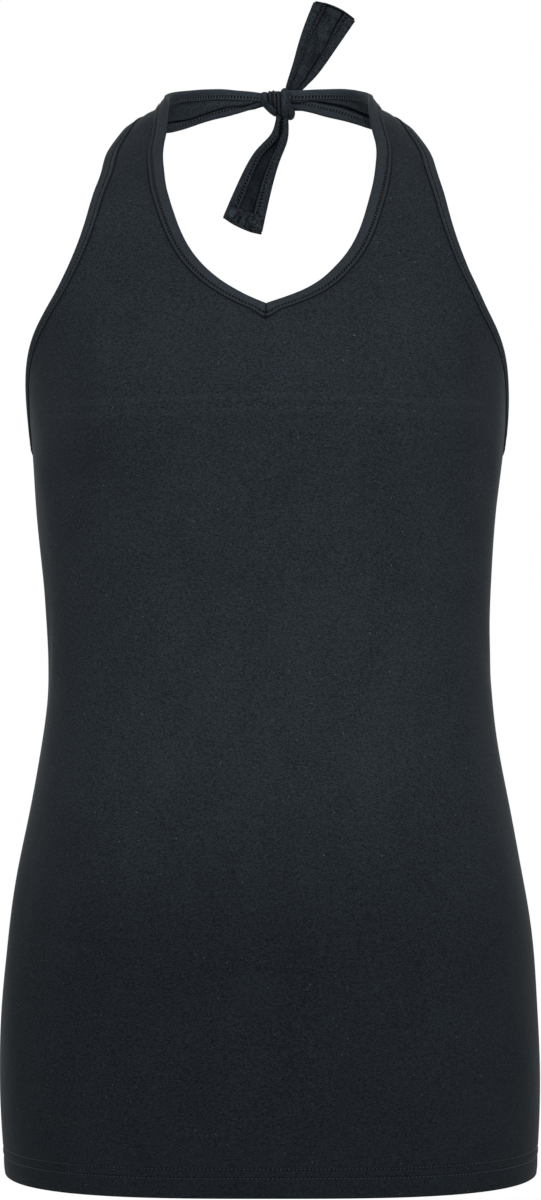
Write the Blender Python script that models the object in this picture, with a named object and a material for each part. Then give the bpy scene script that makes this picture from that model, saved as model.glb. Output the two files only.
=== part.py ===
"""Halter neck top of cotton jersey, filled out and hollow, hanging by its knot.

Lengths in the tables are millimetres and are turned into metres when a mesh
is made. Heights in the tables run up from the hem; the frame's own zero is
the inner side of the knot behind the neck, +Z up, front toward -Y, the
wearer's left toward +X.
"""
import bmesh
import bpy
import numpy as np

MILLIMETRE = 0.001

CLOTH = 1.0              # wall of one layer of cloth
GAP = 0.3                # between two pieces at a seam
HEM_DEPTH = 18.0         # turned up inside at the bottom
HEM_FOLD = 0.7           # radius of the hem's fold, to the middle of the cloth
BINDING_WIDTH = 9.4      # finished edge to the binding's inner edge
BINDING_LIFT = CLOTH + GAP
EDGE_SETBACK = BINDING_LIFT + CLOTH / 2   # raw edge inside the finished edge

NAPE_HEIGHT = 690.0      # height of the frame's zero above the hem
NAPE_DEPTH = -5.0        # table depth of the frame's zero
SEAM_DEPTH = -70.0       # side seams lie in this plane
FRONT_LEAN = 0.4         # how far the front's fuller corners lie toward the centre
BACK_SHARE = 0.5         # of the front's squareness, at the back

TORSO_COLUMNS = 10       # centre front to side seam
TORSO_ROWS = 20          # hem stitching to the foot of the V
STRAP_FRONT_ROWS = 20    # foot of the V to the top of the shoulder
STRAP_BACK_ROWS = 11     # top of the shoulder to the knot
BACK_COLUMNS = 22        # side seam to side seam
CUT_LEVEL = 600.0        # ends above this are cut at the knot, below it at a seam
ANY_SIDE = 2             # of the knot
SHOULDER_TURN = 90.0     # straps pass over the shoulders at this turn
EDGE_SAMPLES = 1600      # places tried along a finished edge
STRIP_RUN = 2.0          # bindings run this far past a seam before it is cut
BEND_SHARE = 1 / 3       # of the way from shoulder to knot, over which a strap gathers
SIDE_BEND = 3            # rows bend to the side seam's slope with this power of height
STEP_PARTS = 4           # a walk over the cloth is made in this many steps
STEP_TURN = 0.05         # turn and height over which the cloth's slope is read
KNOT_PULL = 40.0         # height over which the straps are drawn over to the knot
KNOT_DRAW = 58.0         # and the depth over which they are
STRAP_TURN = -60.0       # depth at which the straps pass over the shoulders

TIE_WIDTH = 29.0         # laid flat
GATHERED_WIDTH = 13.0    # strap where it enters the knot
GATHERED_CHORD = 4.6     # of that, cloth seen between the two bindings

# one row per level section of the filled out body; squareness is how far it is
# fuller than an ellipse, sway how far it hangs to the wearer's left
BODY_COLUMNS = ("height", "half_width", "front", "back", "axis", "squareness", "sway")
BODY = (
    (0, 169.2, 118.4, 112.0, -70.0, 0.082, 1.6),
    (45, 171.9, 119.0, 117.0, -70.0, 0.075, 1.2),
    (110, 170.6, 119.5, 120.0, -70.0, 0.06, 0.9),
    (174, 163.8, 118.0, 111.0, -70.0, 0.045, 1.1),
    (238, 151.9, 111.5, 96.0, -70.0, 0.035, 1.0),
    (302, 141.9, 104.0, 84.0, -70.0, 0.035, 0.6),
    (366, 141.5, 103.5, 81.0, -70.0, 0.035, -0.4),
    (430, 147.3, 112.0, 86.0, -70.0, 0.035, -0.6),
    (494, 153.3, 119.5, 91.0, -70.0, 0.035, -0.2),
    (526, 156.3, 115.0, 92.0, -70.0, 0.035, -1.1),
    (556, 158.2, 106.0, 91.0, -70.0, 0.035, -0.9),
    (585, 157.5, 96.0, 88.0, -69.0, 0.035, -0.2),
    (606, 153.0, 88.0, 83.0, -67.0, 0.035, 0.1),
    (622, 143.5, 81.0, 77.0, -64.0, 0.035, 0.3),
    (635, 129.5, 75.0, 73.4, -62.5, 0.035, 0.3),
    (648, 114.5, 67.5, 69.8, -61.2, 0.035, 0.2),
    (660, 99.8, 60.0, 66.4, -60.4, 0.035, 0.1),
    (672, 85.2, 53.8, 63.4, -60.0, 0.035, 0.0),
    (682, 72.6, 49.8, 61.2, -60.0, 0.035, 0.2),
    (692, 62.6, 47.2, 59.8, -60.0, 0.035, 0.3),
    (712, 55.5, 45.5, 58.0, -60.0, 0.035, 0.3),
)
# the two fuller places of the bust
BUST = {"turn": 36.0, "height": 488.0, "spread": 17.0, "rise": 42.0, "push": 9.0}

# finished edges, a row per place passed: turn from centre front, height
EDGE_COLUMNS = ("turn", "height")
NECK_EDGE = (
    (0.0, 548.2),
    (4.7, 553.2),
    (10.0, 560.8),
    (15.0, 572.3),
    (18.3, 584.0),
    (21.2, 599.5),
    (25.1, 620.0),
    (30.2, 636.2),
    (36.4, 652.8),
    (44.7, 669.6),
    (57.0, 680.6),
    (72.0, 687.0),
    (90.0, 691.0),
    (110.0, 695.6),
    (135.0, 698.8),
    (160.0, 700.2),
    (174.0, 700.4),
)
ARMHOLE_EDGE = (
    (90.0, 476.5),
    (83.5, 494.0),
    (76.0, 514.0),
    (67.7, 530.8),
    (56.2, 553.5),
    (47.7, 584.3),
    (45.8, 607.0),
    (49.2, 627.5),
    (55.2, 639.4),
    (63.3, 650.4),
    (76.0, 663.2),
    (90.0, 669.6),
    (110.0, 672.2),
    (129.0, 672.4),
    (145.4, 680.4),
    (160.4, 686.6),
    (174.0, 689.5),
)
BACK_EDGE = (
    (90.0, 476.5),
    (96.0, 469.5),
    (108.0, 463.0),
    (130.0, 458.0),
    (180.0, 454.5),
)

# the knot behind the neck
KNOT = {
    "x": 6.0, "depth": 2.5, "height": 691.7,
    "half_width": 11.0, "half_depth": 7.8, "half_height": 10.8,
    "squareness": 3.2, "groove": 0.38, "groove_width": 0.13, "slant": 0.25,
    "shallow_side": 0.15, "low_side": 0.78, "small_side": -0.9, "grows_over": 1.2,
    "groove_ends": 0.33, "rings": 18, "turns": 38,
}
KNOT_GROOVES = (-0.5, -0.04, 0.72)   # across the knot, between its turns

# the tie ends: a row per section along the end, its two finished edges
TIE_COLUMNS = ("left_x", "left_height", "right_x", "right_height", "depth")
UPPER_TIE = (
    (12.2, 701.6, 22.6, 701.6, 3.0),
    (16.4, 720.0, 32.6, 712.0, 4.0),
    (22.0, 740.0, 45.0, 729.5, 5.5),
    (29.4, 759.5, 57.0, 747.0, 7.0),
)
LOWER_TIE = (
    (5.2, 681.6, 13.0, 681.6, -1.5),
    (2.6, 671.8, 12.6, 668.2, 0.5),
    (-7.9, 660.2, 8.2, 655.0, 3.0),
    (-19.2, 641.6, 2.2, 634.6, 6.0),
    (-29.1, 620.3, -3.5, 609.0, 8.0),
)
TIE_STATIONS = (0.0, 0.14, 0.28, 0.42, 0.56, 0.7, 0.89, 0.945, 1.0)
TIE_HEM_ROWS = 3         # the last stations lie under the turned end
TIE_OPENS = 0.4          # from here on a tie end lies more and more flat
TIE_CROWN = 2.0          # how far the middle of its end stands beyond the corners
TIE_COLUMNS_ACROSS = 4
TIE_SEAT = 0.2           # ties start this far down the knot's rounded top and foot

MATERIALS = {
    # piece: linear colour, roughness
    "front_panel": ((0.0116, 0.0142, 0.0168), 0.82),
    "back_panel": ((0.0112, 0.0138, 0.0164), 0.82),
    "neck_binding_left": ((0.0134, 0.0163, 0.0193), 0.8),
    "neck_binding_right": ((0.0134, 0.0163, 0.0193), 0.8),
    "armhole_binding_left": ((0.0131, 0.016, 0.019), 0.8),
    "armhole_binding_right": ((0.0131, 0.016, 0.019), 0.8),
    "back_binding": ((0.013, 0.0158, 0.0187), 0.8),
    "knot": ((0.0105, 0.013, 0.0156), 0.84),
    "upper_tie_cloth": ((0.0108, 0.0133, 0.016), 0.83),
    "upper_tie_binding_left": ((0.0125, 0.0152, 0.018), 0.81),
    "upper_tie_binding_right": ((0.0125, 0.0152, 0.018), 0.81),
    "lower_tie_cloth": ((0.0106, 0.0131, 0.0158), 0.83),
    "lower_tie_binding_left": ((0.0123, 0.015, 0.0178), 0.81),
    "lower_tie_binding_right": ((0.0123, 0.015, 0.0178), 0.81),
}


def natural_spline(places, values):
    """Smooth curve through values at the given places."""
    places = np.asarray(places, float)
    values = np.asarray(values, float)
    count = len(places)
    steps = np.diff(places)
    matrix = np.eye(count)
    rates = np.zeros(count)
    for i in range(1, count - 1):
        matrix[i, i - 1:i + 2] = steps[i - 1], 2 * (steps[i - 1] + steps[i]), steps[i]
        after = (values[i + 1] - values[i]) / steps[i]
        before = (values[i] - values[i - 1]) / steps[i - 1]
        rates[i] = 6 * (after - before)
    bends = np.linalg.solve(matrix, rates)

    def curve(at):
        at = np.asarray(at, float)
        i = np.clip(np.searchsorted(places, at) - 1, 0, count - 2)
        past = at - places[i]
        left = places[i + 1] - at
        step = steps[i]
        cubic = (bends[i] * left ** 3 + bends[i + 1] * past ** 3) / (6 * step)
        start = (values[i] / step - bends[i] * step / 6) * left
        finish = (values[i + 1] / step - bends[i + 1] * step / 6) * past
        return cubic + start + finish

    return curve


def column(table, columns, name):
    return np.array([row[columns.index(name)] for row in table], float)


def run_of(points):
    """Distance travelled along a line of points."""
    steps = np.linalg.norm(np.diff(points, axis=0), axis=1)
    return np.concatenate([[0], np.cumsum(steps)])


BODY_CURVES = {
    name: natural_spline(column(BODY, BODY_COLUMNS, "height"), column(BODY, BODY_COLUMNS, name))
    for name in BODY_COLUMNS[1:]
}


def body_point(turn, height):
    """Point of the filled out cloth at a turn in degrees and a height."""
    turn = np.asarray(turn, float)
    height = np.asarray(height, float)
    angle = np.radians(turn)
    front = np.cos(angle) >= 0
    depth = np.where(front, BODY_CURVES["front"](height), BODY_CURVES["back"](height))
    lean = np.where(front, 1 + FRONT_LEAN * np.cos(2 * angle), BACK_SHARE)
    corner = np.sin(2 * angle) ** 2 * lean
    fuller = 1 + BODY_CURVES["squareness"](height) * corner
    across = (np.abs(turn) - BUST["turn"]) / BUST["spread"]
    up = (height - BUST["height"]) / BUST["rise"]
    push = BUST["push"] * np.exp(-across ** 2 - up ** 2)
    x = BODY_CURVES["half_width"](height) * np.sin(angle) * fuller
    y = BODY_CURVES["axis"](height) - depth * np.cos(angle) * fuller - push
    return np.stack([x, y, height + 0 * x], -1)


def unit(vectors):
    return vectors / np.linalg.norm(vectors, axis=-1, keepdims=True)


def body_frame(turn, height):
    """Along the turn, up the cloth and straight out of it."""
    small = STEP_TURN
    around = (body_point(turn + small, height) - body_point(turn - small, height)) / (2 * small)
    rise = (body_point(turn, height + small) - body_point(turn, height - small)) / (2 * small)
    return around, rise, unit(np.cross(around, rise))


def step_on_body(turn, height, direction, distance):
    """Walk a distance over the cloth, starting in a direction."""
    for _ in range(STEP_PARTS):
        around, rise, _ = body_frame(turn, height)
        aa = np.sum(around * around, -1)
        ar = np.sum(around * rise, -1)
        rr = np.sum(rise * rise, -1)
        da = np.sum(direction * around, -1)
        dr = np.sum(direction * rise, -1)
        base = aa * rr - ar * ar
        turn = turn + (da * rr - dr * ar) / base * distance / STEP_PARTS
        height = height + (dr * aa - da * ar) / base * distance / STEP_PARTS
    return turn, height


def edge_stations(table, part, rows):
    """Evenly spaced places on a finished edge, before or behind the shoulder's top."""
    turns = column(table, EDGE_COLUMNS, "turn")
    heights = column(table, EDGE_COLUMNS, "height")
    lengths = run_of(body_point(turns, heights))
    turn_curve = natural_spline(lengths, turns)
    height_curve = natural_spline(lengths, heights)
    fine = np.linspace(0, lengths[-1], EDGE_SAMPLES)
    shoulder = np.nonzero(turn_curve(fine) < SHOULDER_TURN)[0][-1] + 1
    fine = fine[:shoulder + 1] if part == "front" else fine[shoulder:]
    run = run_of(body_point(turn_curve(fine), height_curve(fine)))
    places = np.interp(np.linspace(0, run[-1], rows + 1), run, fine)
    return turn_curve(places), height_curve(places)


def strap_edge(table):
    """Stations from the foot of the front to the knot, in two even parts."""
    front = edge_stations(table, "front", STRAP_FRONT_ROWS)
    back = edge_stations(table, "back", STRAP_BACK_ROWS)
    turns = np.concatenate([front[0], back[0][1:]])
    heights = np.concatenate([front[1], back[1][1:]])
    return turns, heights


def inset_edge(turns, heights, side, distance):
    """The same stations a distance inside the cloth, square to the edge."""
    points = body_point(turns, heights)
    along = unit(np.gradient(points, axis=0))
    out = body_frame(turns, heights)[2]
    return step_on_body(turns, heights, side * unit(np.cross(along, out)), distance)


def seam_stretch(table):
    """How much longer a binding's width is along the seam that its first end meets."""
    pair = table[:2]
    points = body_point(column(pair, EDGE_COLUMNS, "turn"), column(pair, EDGE_COLUMNS, "height"))
    move = points[1] - points[0]
    return np.hypot(1, abs(move[2]) / np.hypot(move[0], move[1]))


def lerp(first, last, share):
    return first + (last - first) * share


def smooth_step(share):
    share = np.clip(share, 0, 1)
    return share * share * (3 - 2 * share)


def gathered_section(upper, lower, along, flat_width, columns, outward=1.0):
    """Section of a strap whose bindings turn in and whose middle bows outward."""
    middle = (upper + lower) / 2
    width = np.linalg.norm(upper - lower)
    up = (upper - lower) / width
    out = unit(np.cross(along, up)) * outward
    bindings = 2 * BINDING_WIDTH
    fold = np.clip((flat_width - width) / max(flat_width - GATHERED_WIDTH, 1), 0, 1)
    chord = lerp(flat_width - bindings, GATHERED_CHORD, fold)
    chord = min(chord, width - 0.2)
    cosine = np.clip((width - chord) / bindings, 0.05, 1)
    sine = np.sqrt(1 - cosine ** 2)
    length = flat_width - bindings
    bow = chord * np.sqrt(max(0.0, 0.375 * (length / chord - 1)))
    bow = min(bow, 0.5 * chord)

    def flange(edge, toward):
        inward = toward * up * cosine + out * sine
        return edge + inward * EDGE_SETBACK, edge + inward * BINDING_WIDTH

    first_raw, first_inner = flange(upper, -1)
    last_raw, last_inner = flange(lower, 1)
    points = [first_raw, first_inner]
    for j in range(1, columns):
        share = j / columns
        points.append(lerp(first_inner, last_inner, share) + out * bow * 4 * share * (1 - share))
    points += [last_inner, last_raw]
    return np.array(points)


def strap_grid():
    """Rows of the wearer's left half from the foot of the V to the knot."""
    edges = {"neck": strap_edge(NECK_EDGE), "armhole": strap_edge(ARMHOLE_EDGE)}
    ends = {}
    for name, table, side in (("neck", NECK_EDGE, 1), ("armhole", ARMHOLE_EDGE, -1)):
        for place, distance in (("raw", EDGE_SETBACK), ("inner", BINDING_WIDTH)):
            turns, heights = inset_edge(*edges[name], side, distance)
            turns[0] = table[0][0]
            heights[0] = table[0][1] - distance * seam_stretch(table)
            ends[name, place] = np.stack([turns, heights], -1)

    rows = []
    for i in range(len(ends["neck", "raw"])):
        places = [ends["neck", "raw"][i]]
        for j in range(TORSO_COLUMNS + 1):
            share = j / TORSO_COLUMNS
            places.append(lerp(ends["neck", "inner"][i], ends["armhole", "inner"][i], share))
        places.append(ends["armhole", "raw"][i])
        places = np.array(places)
        rows.append(body_point(places[:, 0], places[:, 1]))
    rows = np.array(rows)

    upper = body_point(*edges["neck"])
    lower = body_point(*edges["armhole"])
    along = unit(np.gradient((upper + lower) / 2, axis=0))
    ridge_width = np.linalg.norm(upper[STRAP_FRONT_ROWS] - lower[STRAP_FRONT_ROWS])
    for i in range(STRAP_FRONT_ROWS, len(rows)):
        share = (i - STRAP_FRONT_ROWS) / STRAP_BACK_ROWS
        flat_width = lerp(ridge_width, TIE_WIDTH, share)
        section = gathered_section(upper[i], lower[i], along[i], flat_width, TORSO_COLUMNS)
        rows[i] = lerp(rows[i], section, smooth_step(share / BEND_SHARE))
    return rows


def side_height(height, centre_top, side_top):
    """Height at the side seam of the row that is at a height in the centre."""
    return height - (centre_top - side_top) * (height / centre_top) ** SIDE_BEND


def torso_heights(top):
    """Row heights from the hem's fold to the top row."""
    low = [CLOTH / 2 + HEM_FOLD, HEM_DEPTH / 2, HEM_DEPTH]
    return low + [lerp(HEM_DEPTH, top, k / TORSO_ROWS) for k in range(1, TORSO_ROWS)]


def hem_turn(turns):
    """Rows of the turned hem from its raw edge inside down to the fold."""
    base = CLOTH / 2 + HEM_FOLD
    rows = []
    for height in (HEM_DEPTH, HEM_DEPTH / 2, base):
        heights = height + 0 * turns
        rows.append(body_point(turns, heights) - body_frame(turns, heights)[2] * 2 * HEM_FOLD)
    heights = base + 0 * turns
    out = body_frame(turns, heights)[2]
    for share in (0.75, 0.5, 0.25):
        angle = np.pi * share
        inward = HEM_FOLD * (1 - np.cos(angle))
        drop = HEM_FOLD * np.sin(angle)
        rows.append(body_point(turns, heights) - out * inward - np.array([0, 0, drop]))
    return rows


def torso_grid(v_row):
    """Rows of the wearer's left half front from the hem to below the V."""
    centre_top = v_row[1, 2]
    side_top = v_row[-2, 2]
    turns = np.linspace(0, 90, TORSO_COLUMNS + 1)
    share = turns / 90
    rows = hem_turn(turns)
    for height in torso_heights(centre_top):
        heights = lerp(height, side_height(height, centre_top, side_top), share)
        rows.append(body_point(turns, heights))
    rows.append(v_row[1:-1])
    return np.array(rows)


def back_grid(side_raw, side_inner, centre_top):
    """Rows of the back from the hem to its raw top edge, side seam to side seam."""
    turns = np.linspace(90, 270, BACK_COLUMNS + 1)
    mirrored = np.where(turns > 180, 360 - turns, turns)
    edge_turns = column(BACK_EDGE, EDGE_COLUMNS, "turn")
    edge_curve = natural_spline(edge_turns, column(BACK_EDGE, EDGE_COLUMNS, "height"))
    finished = edge_curve(mirrored)
    points = body_point(turns, finished)
    run = np.linalg.norm(np.gradient(points[:, :2], axis=0), axis=1)
    stretch = np.hypot(1, np.gradient(finished) / run)
    inner = finished - BINDING_WIDTH * stretch
    raw = finished - EDGE_SETBACK * stretch
    inner[0] = inner[-1] = side_inner
    raw[0] = raw[-1] = side_raw

    rows = hem_turn(turns)
    for height in torso_heights(centre_top):
        at_side = side_height(height, centre_top, side_inner)
        dip = (inner - side_inner) * (at_side / side_inner) ** SIDE_BEND
        rows.append(body_point(turns, at_side + dip))
    rows.append(body_point(turns, inner))
    rows.append(body_point(turns, raw))
    return np.array(rows)


def folded_strip(raw, inner, stretch_first=1.0):
    """Sections of a binding folded round a raw edge, right side flange first."""
    along = unit(np.gradient(raw, axis=0))
    away = unit(raw - inner)
    out = unit(np.cross(along, away))
    reach = np.ones(len(raw))
    reach[0] = stretch_first
    rows = [inner + out * BINDING_LIFT]
    for angle in np.radians((90, 50, 0, -50, -90)):
        turn = out * np.sin(angle) + away * np.cos(angle) * reach[:, None]
        rows.append(raw + turn * BINDING_LIFT)
    rows.append(inner - out * BINDING_LIFT)
    return np.stack(rows, 1)


def run_past(sections, distance):
    """Carry a strip straight on past its first section."""
    move = unit((sections[1] - sections[0]).mean(0))
    return np.concatenate([[sections[0] - move * distance], sections])


def hung(points):
    """The even form with its sway, and its straps drawn over to the knot."""
    moved = points.copy()
    above = smooth_step((points[..., 2] - CUT_LEVEL) / KNOT_PULL)
    behind = smooth_step((points[..., 1] - STRAP_TURN) / KNOT_DRAW)
    moved[..., 0] += BODY_CURVES["sway"](points[..., 2]) + KNOT["x"] * above * behind
    return moved


def mirror(points):
    return points * np.array([-1, 1, 1])


def to_frame(points):
    origin = np.array([0, NAPE_DEPTH, NAPE_HEIGHT])
    return (points - origin) * MILLIMETRE


def finish_piece(name, mesh):
    colour, roughness = MATERIALS[name]
    material = bpy.data.materials.new(name)
    material.use_nodes = True
    shader = material.node_tree.nodes["Principled BSDF"]
    shader.inputs["Base Color"].default_value = (*colour, 1)
    shader.inputs["Roughness"].default_value = roughness
    shader.inputs["Metallic"].default_value = 0.0
    mesh.materials.append(material)
    for polygon in mesh.polygons:
        polygon.use_smooth = True
    piece = bpy.data.objects.new(name, mesh)
    bpy.context.scene.collection.objects.link(piece)
    return piece


def cloth_from_grids(name, grids, cuts=(), folded=False):
    """Join grids of points, give them the cloth's wall and cut the ends square.

    Triangles lean the same way on a panel's edge and on the binding over it,
    so that the two stay the same distance apart.
    """
    shell = bmesh.new()
    for grid in grids:
        points = to_frame(grid)
        verts = [[shell.verts.new(point) for point in row] for row in points]
        for low, high in zip(verts[:-1], verts[1:]):
            for j in range(len(low) - 1):
                if (j < (len(low) - 1) / 2) != folded:
                    shell.faces.new((low[j], low[j + 1], high[j + 1]))
                    shell.faces.new((low[j], high[j + 1], high[j]))
                else:
                    shell.faces.new((low[j], low[j + 1], high[j]))
                    shell.faces.new((low[j + 1], high[j + 1], high[j]))
    bmesh.ops.remove_doubles(shell, verts=shell.verts, dist=0.01 * MILLIMETRE)
    bmesh.ops.recalc_face_normals(shell, faces=shell.faces)
    mesh = bpy.data.meshes.new(name)
    shell.to_mesh(mesh)
    shell.free()

    piece = bpy.data.objects.new(name, mesh)
    bpy.context.scene.collection.objects.link(piece)
    wall = piece.modifiers.new("wall", "SOLIDIFY")
    wall.thickness = CLOTH * MILLIMETRE
    wall.offset = 0.0
    wall.use_even_offset = True
    bpy.context.view_layer.update()
    depsgraph = bpy.context.evaluated_depsgraph_get()
    solid = bpy.data.meshes.new_from_object(piece.evaluated_get(depsgraph))
    bpy.data.objects.remove(piece)
    bpy.data.meshes.remove(mesh)
    solid.name = name

    body = bmesh.new()
    body.from_mesh(solid)
    level, knot_x = to_frame(np.array([KNOT["x"], 0, CUT_LEVEL]))[[2, 0]]
    for point, normal, side in cuts:
        faces = []
        for face in body.faces:
            centre = face.calc_center_median()
            if centre.z < level:
                place = 0
            else:
                place = 1 if centre.x > knot_x else -1
            if place == side or side == ANY_SIDE and place != 0:
                faces.append(face)
        edges = {edge for face in faces for edge in face.edges}
        verts = {vert for face in faces for vert in face.verts}
        cut = bmesh.ops.bisect_plane(
            body, geom=list(verts) + list(edges) + faces,
            plane_co=to_frame(np.array(point, float)),
            plane_no=normal, clear_outer=True, dist=0.001 * MILLIMETRE)
        rim = [item for item in cut["geom_cut"] if isinstance(item, bmesh.types.BMEdge)]
        bmesh.ops.holes_fill(body, edges=rim, sides=0)
    bmesh.ops.recalc_face_normals(body, faces=body.faces)
    body.to_mesh(solid)
    body.free()
    return finish_piece(name, solid)


def seam_cut(front):
    """Cut at the side seams that keeps the front or the back."""
    if front:
        return ((0, SEAM_DEPTH - GAP / 2, 0), (0, 1, 0), 0)
    return ((0, SEAM_DEPTH + GAP / 2, 0), (0, -1, 0), 0)


def v_cut(side):
    """Cut down the centre front that keeps one side."""
    centre = BODY_CURVES["sway"](NECK_EDGE[0][1])
    return ((centre + side * GAP / 2, 0, 0), (-side, 0, 0), 0)


def knot_cut(side):
    """Cut beside the knot that keeps the strap on one side."""
    reach = KNOT["half_width"] + GAP
    return ((KNOT["x"] + side * reach, 0, 0), (-side, 0, 0), side)


def tie_cut(up):
    """Cut above or below the knot that keeps a tie end."""
    reach = KNOT["half_height"] - TIE_SEAT
    return ((0, 0, KNOT["height"] + up * reach), (0, 0, -up), ANY_SIDE)


def tie_grid(table, right_side):
    """Sections of a tie end from the knot to its fold, bowed to its right side."""
    stations = np.linspace(0, 1, len(table))
    curves = {name: natural_spline(stations, column(table, TIE_COLUMNS, name))
              for name in TIE_COLUMNS}
    at = np.array(TIE_STATIONS)
    depth = curves["depth"](at)
    left = np.stack([curves["left_x"](at), depth, curves["left_height"](at)], -1)
    right = np.stack([curves["right_x"](at), depth, curves["right_height"](at)], -1)
    along = unit(np.gradient((left + right) / 2, axis=0))
    outward = right_side * np.sign(np.cross(along[0], (left - right)[0])[1])
    widths = np.linalg.norm(left - right, axis=1)
    opened = smooth_step((at - TIE_OPENS) / (TIE_STATIONS[-TIE_HEM_ROWS] - TIE_OPENS))
    flat_widths = lerp(TIE_WIDTH, widths, opened)
    sections = np.array([
        gathered_section(left[i], right[i], along[i], flat_widths[i], TIE_COLUMNS_ACROSS, outward)
        for i in range(len(at))
    ])
    share = np.linalg.norm(sections - sections[:, :1], axis=2)
    share = share / share[:, -1:]
    crown = TIE_CROWN * 4 * share * (1 - share) * at[:, None] ** 2
    return sections + along[:, None] * crown[:, :, None]


def tie_cloth(sections, right_side):
    """The cloth of a tie end, its last part turned back over the bindings."""
    along = unit(np.gradient(sections, axis=0))
    across = unit(np.gradient(sections, axis=1))
    toward = unit(np.cross(along, across))
    toward = toward * -right_side * np.sign(toward[-1, 0, 1])
    lift = BINDING_LIFT + CLOTH / 2 + GAP + CLOTH / 2
    radius = lift / 2
    rows = list(sections)
    for angle in np.radians((45, 90, 135)):
        ahead = along[-1] * radius * np.sin(angle)
        rows.append(sections[-1] + ahead + toward[-1] * radius * (1 - np.cos(angle)))
    for i in range(1, TIE_HEM_ROWS + 1):
        rows.append(sections[-i] + toward[-i] * lift)
    return np.array(rows)


def build_knot():
    """Lump of the wrapped straps, its turns parted by slanting grooves."""
    rings = KNOT["rings"]
    turns = KNOT["turns"]
    power = KNOT["squareness"]
    half = np.array([KNOT["half_width"], KNOT["half_depth"], KNOT["half_height"]])
    centre = np.array([KNOT["x"], KNOT["depth"], KNOT["height"]])
    grooves = np.array(KNOT_GROOVES)

    def place(up, around):
        flat = np.cos(up)
        way = np.array([flat * np.cos(around), flat * np.sin(around), np.sin(up)])
        shaped = way / np.sum(np.abs(way) ** power) ** (1 / power)
        away = (shaped[0] + KNOT["slant"] * shaped[2] - grooves) / KNOT["groove_width"]
        groove = KNOT["groove"] * np.sum(np.exp(-away ** 2)) * flat
        grown = smooth_step((shaped[0] - KNOT["small_side"]) / KNOT["grows_over"])
        tall = lerp(KNOT["shallow_side"] if shaped[2] < 0 else KNOT["low_side"], 1, grown)
        notch = 1 - groove * KNOT["groove_ends"]
        return centre + half * shaped * np.array([1, 1 - groove, tall * notch])

    lump = bmesh.new()
    bottom = lump.verts.new(to_frame(place(-np.pi / 2, 0.0)))
    top = lump.verts.new(to_frame(place(np.pi / 2, 0.0)))
    loops = []
    for i in range(1, rings):
        up = -np.pi / 2 + np.pi * i / rings
        loops.append([lump.verts.new(to_frame(place(up, 2 * np.pi * j / turns)))
                      for j in range(turns)])
    for j in range(turns):
        k = (j + 1) % turns
        lump.faces.new((bottom, loops[0][k], loops[0][j]))
        lump.faces.new((top, loops[-1][j], loops[-1][k]))
        for low, high in zip(loops[:-1], loops[1:]):
            lump.faces.new((low[j], low[k], high[k], high[j]))
    bmesh.ops.recalc_face_normals(lump, faces=lump.faces)
    mesh = bpy.data.meshes.new("knot")
    lump.to_mesh(mesh)
    lump.free()
    return finish_piece("knot", mesh)


def main():
    for item in list(bpy.data.objects):
        bpy.data.objects.remove(item)

    strap = strap_grid()
    torso = torso_grid(strap[0])
    v_stretch = seam_stretch(NECK_EDGE)
    side_stretch = seam_stretch(ARMHOLE_EDGE)
    halves = {"left": hung(strap), "right": hung(mirror(strap))}
    cuts = [seam_cut(True), knot_cut(1), knot_cut(-1)]
    grids = [hung(torso), hung(mirror(torso)), *halves.values()]
    cloth_from_grids("front_panel", grids, cuts)

    side_raw, side_inner = strap[0, -1, 2], strap[0, -2, 2]
    back = hung(back_grid(side_raw, side_inner, strap[0, 1, 2]))
    cloth_from_grids("back_panel", [back], [seam_cut(False)])

    for side, rows in halves.items():
        sign = 1 if side == "left" else -1
        neck = run_past(folded_strip(rows[:, 0], rows[:, 1], v_stretch), STRIP_RUN)
        cuts = [v_cut(sign), knot_cut(sign)]
        cloth_from_grids("neck_binding_" + side, [neck], cuts, True)
        armhole = run_past(folded_strip(rows[:, -1], rows[:, -2], side_stretch), STRIP_RUN)
        cuts = [seam_cut(True), knot_cut(sign)]
        cloth_from_grids("armhole_binding_" + side, [armhole], cuts, True)
    top = folded_strip(back[-1], back[-2])
    cloth_from_grids("back_binding", [top], [seam_cut(False)], True)

    build_knot()
    for name, table, up in (("upper_tie", UPPER_TIE, 1), ("lower_tie", LOWER_TIE, -1)):
        right_side = -up   # the upper end shows its right side at the front
        sections = tie_grid(table, right_side)
        cloth_from_grids(name + "_cloth", [tie_cloth(sections, right_side)], [tie_cut(up)])
        left = folded_strip(sections[:, 0], sections[:, 1])
        cloth_from_grids(name + "_binding_left", [left], [tie_cut(up)], True)
        right = folded_strip(sections[:, -1], sections[:, -2])
        cloth_from_grids(name + "_binding_right", [right], [tie_cut(up)], True)


main()
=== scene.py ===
# halter neck top: jersey body, bound edges, straps tied behind the neck
import math
from functools import partial

import bmesh
import bpy
import numpy as np
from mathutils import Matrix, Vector


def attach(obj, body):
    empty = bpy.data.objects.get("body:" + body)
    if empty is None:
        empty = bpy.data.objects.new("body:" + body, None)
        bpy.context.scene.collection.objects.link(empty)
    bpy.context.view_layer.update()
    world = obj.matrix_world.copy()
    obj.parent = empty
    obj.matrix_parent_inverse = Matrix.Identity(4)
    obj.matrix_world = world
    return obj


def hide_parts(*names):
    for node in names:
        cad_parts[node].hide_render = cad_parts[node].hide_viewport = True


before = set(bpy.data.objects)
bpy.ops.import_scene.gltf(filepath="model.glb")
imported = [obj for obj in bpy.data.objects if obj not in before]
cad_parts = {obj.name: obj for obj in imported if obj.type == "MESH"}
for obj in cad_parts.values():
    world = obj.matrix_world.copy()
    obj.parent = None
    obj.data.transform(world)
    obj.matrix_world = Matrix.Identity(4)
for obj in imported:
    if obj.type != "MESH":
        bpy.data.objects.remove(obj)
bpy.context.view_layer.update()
print("frame loaded")

mm = 0.001


# small helpers
def lerp(first, last, share):
    return first + (last - first) * share


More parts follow.
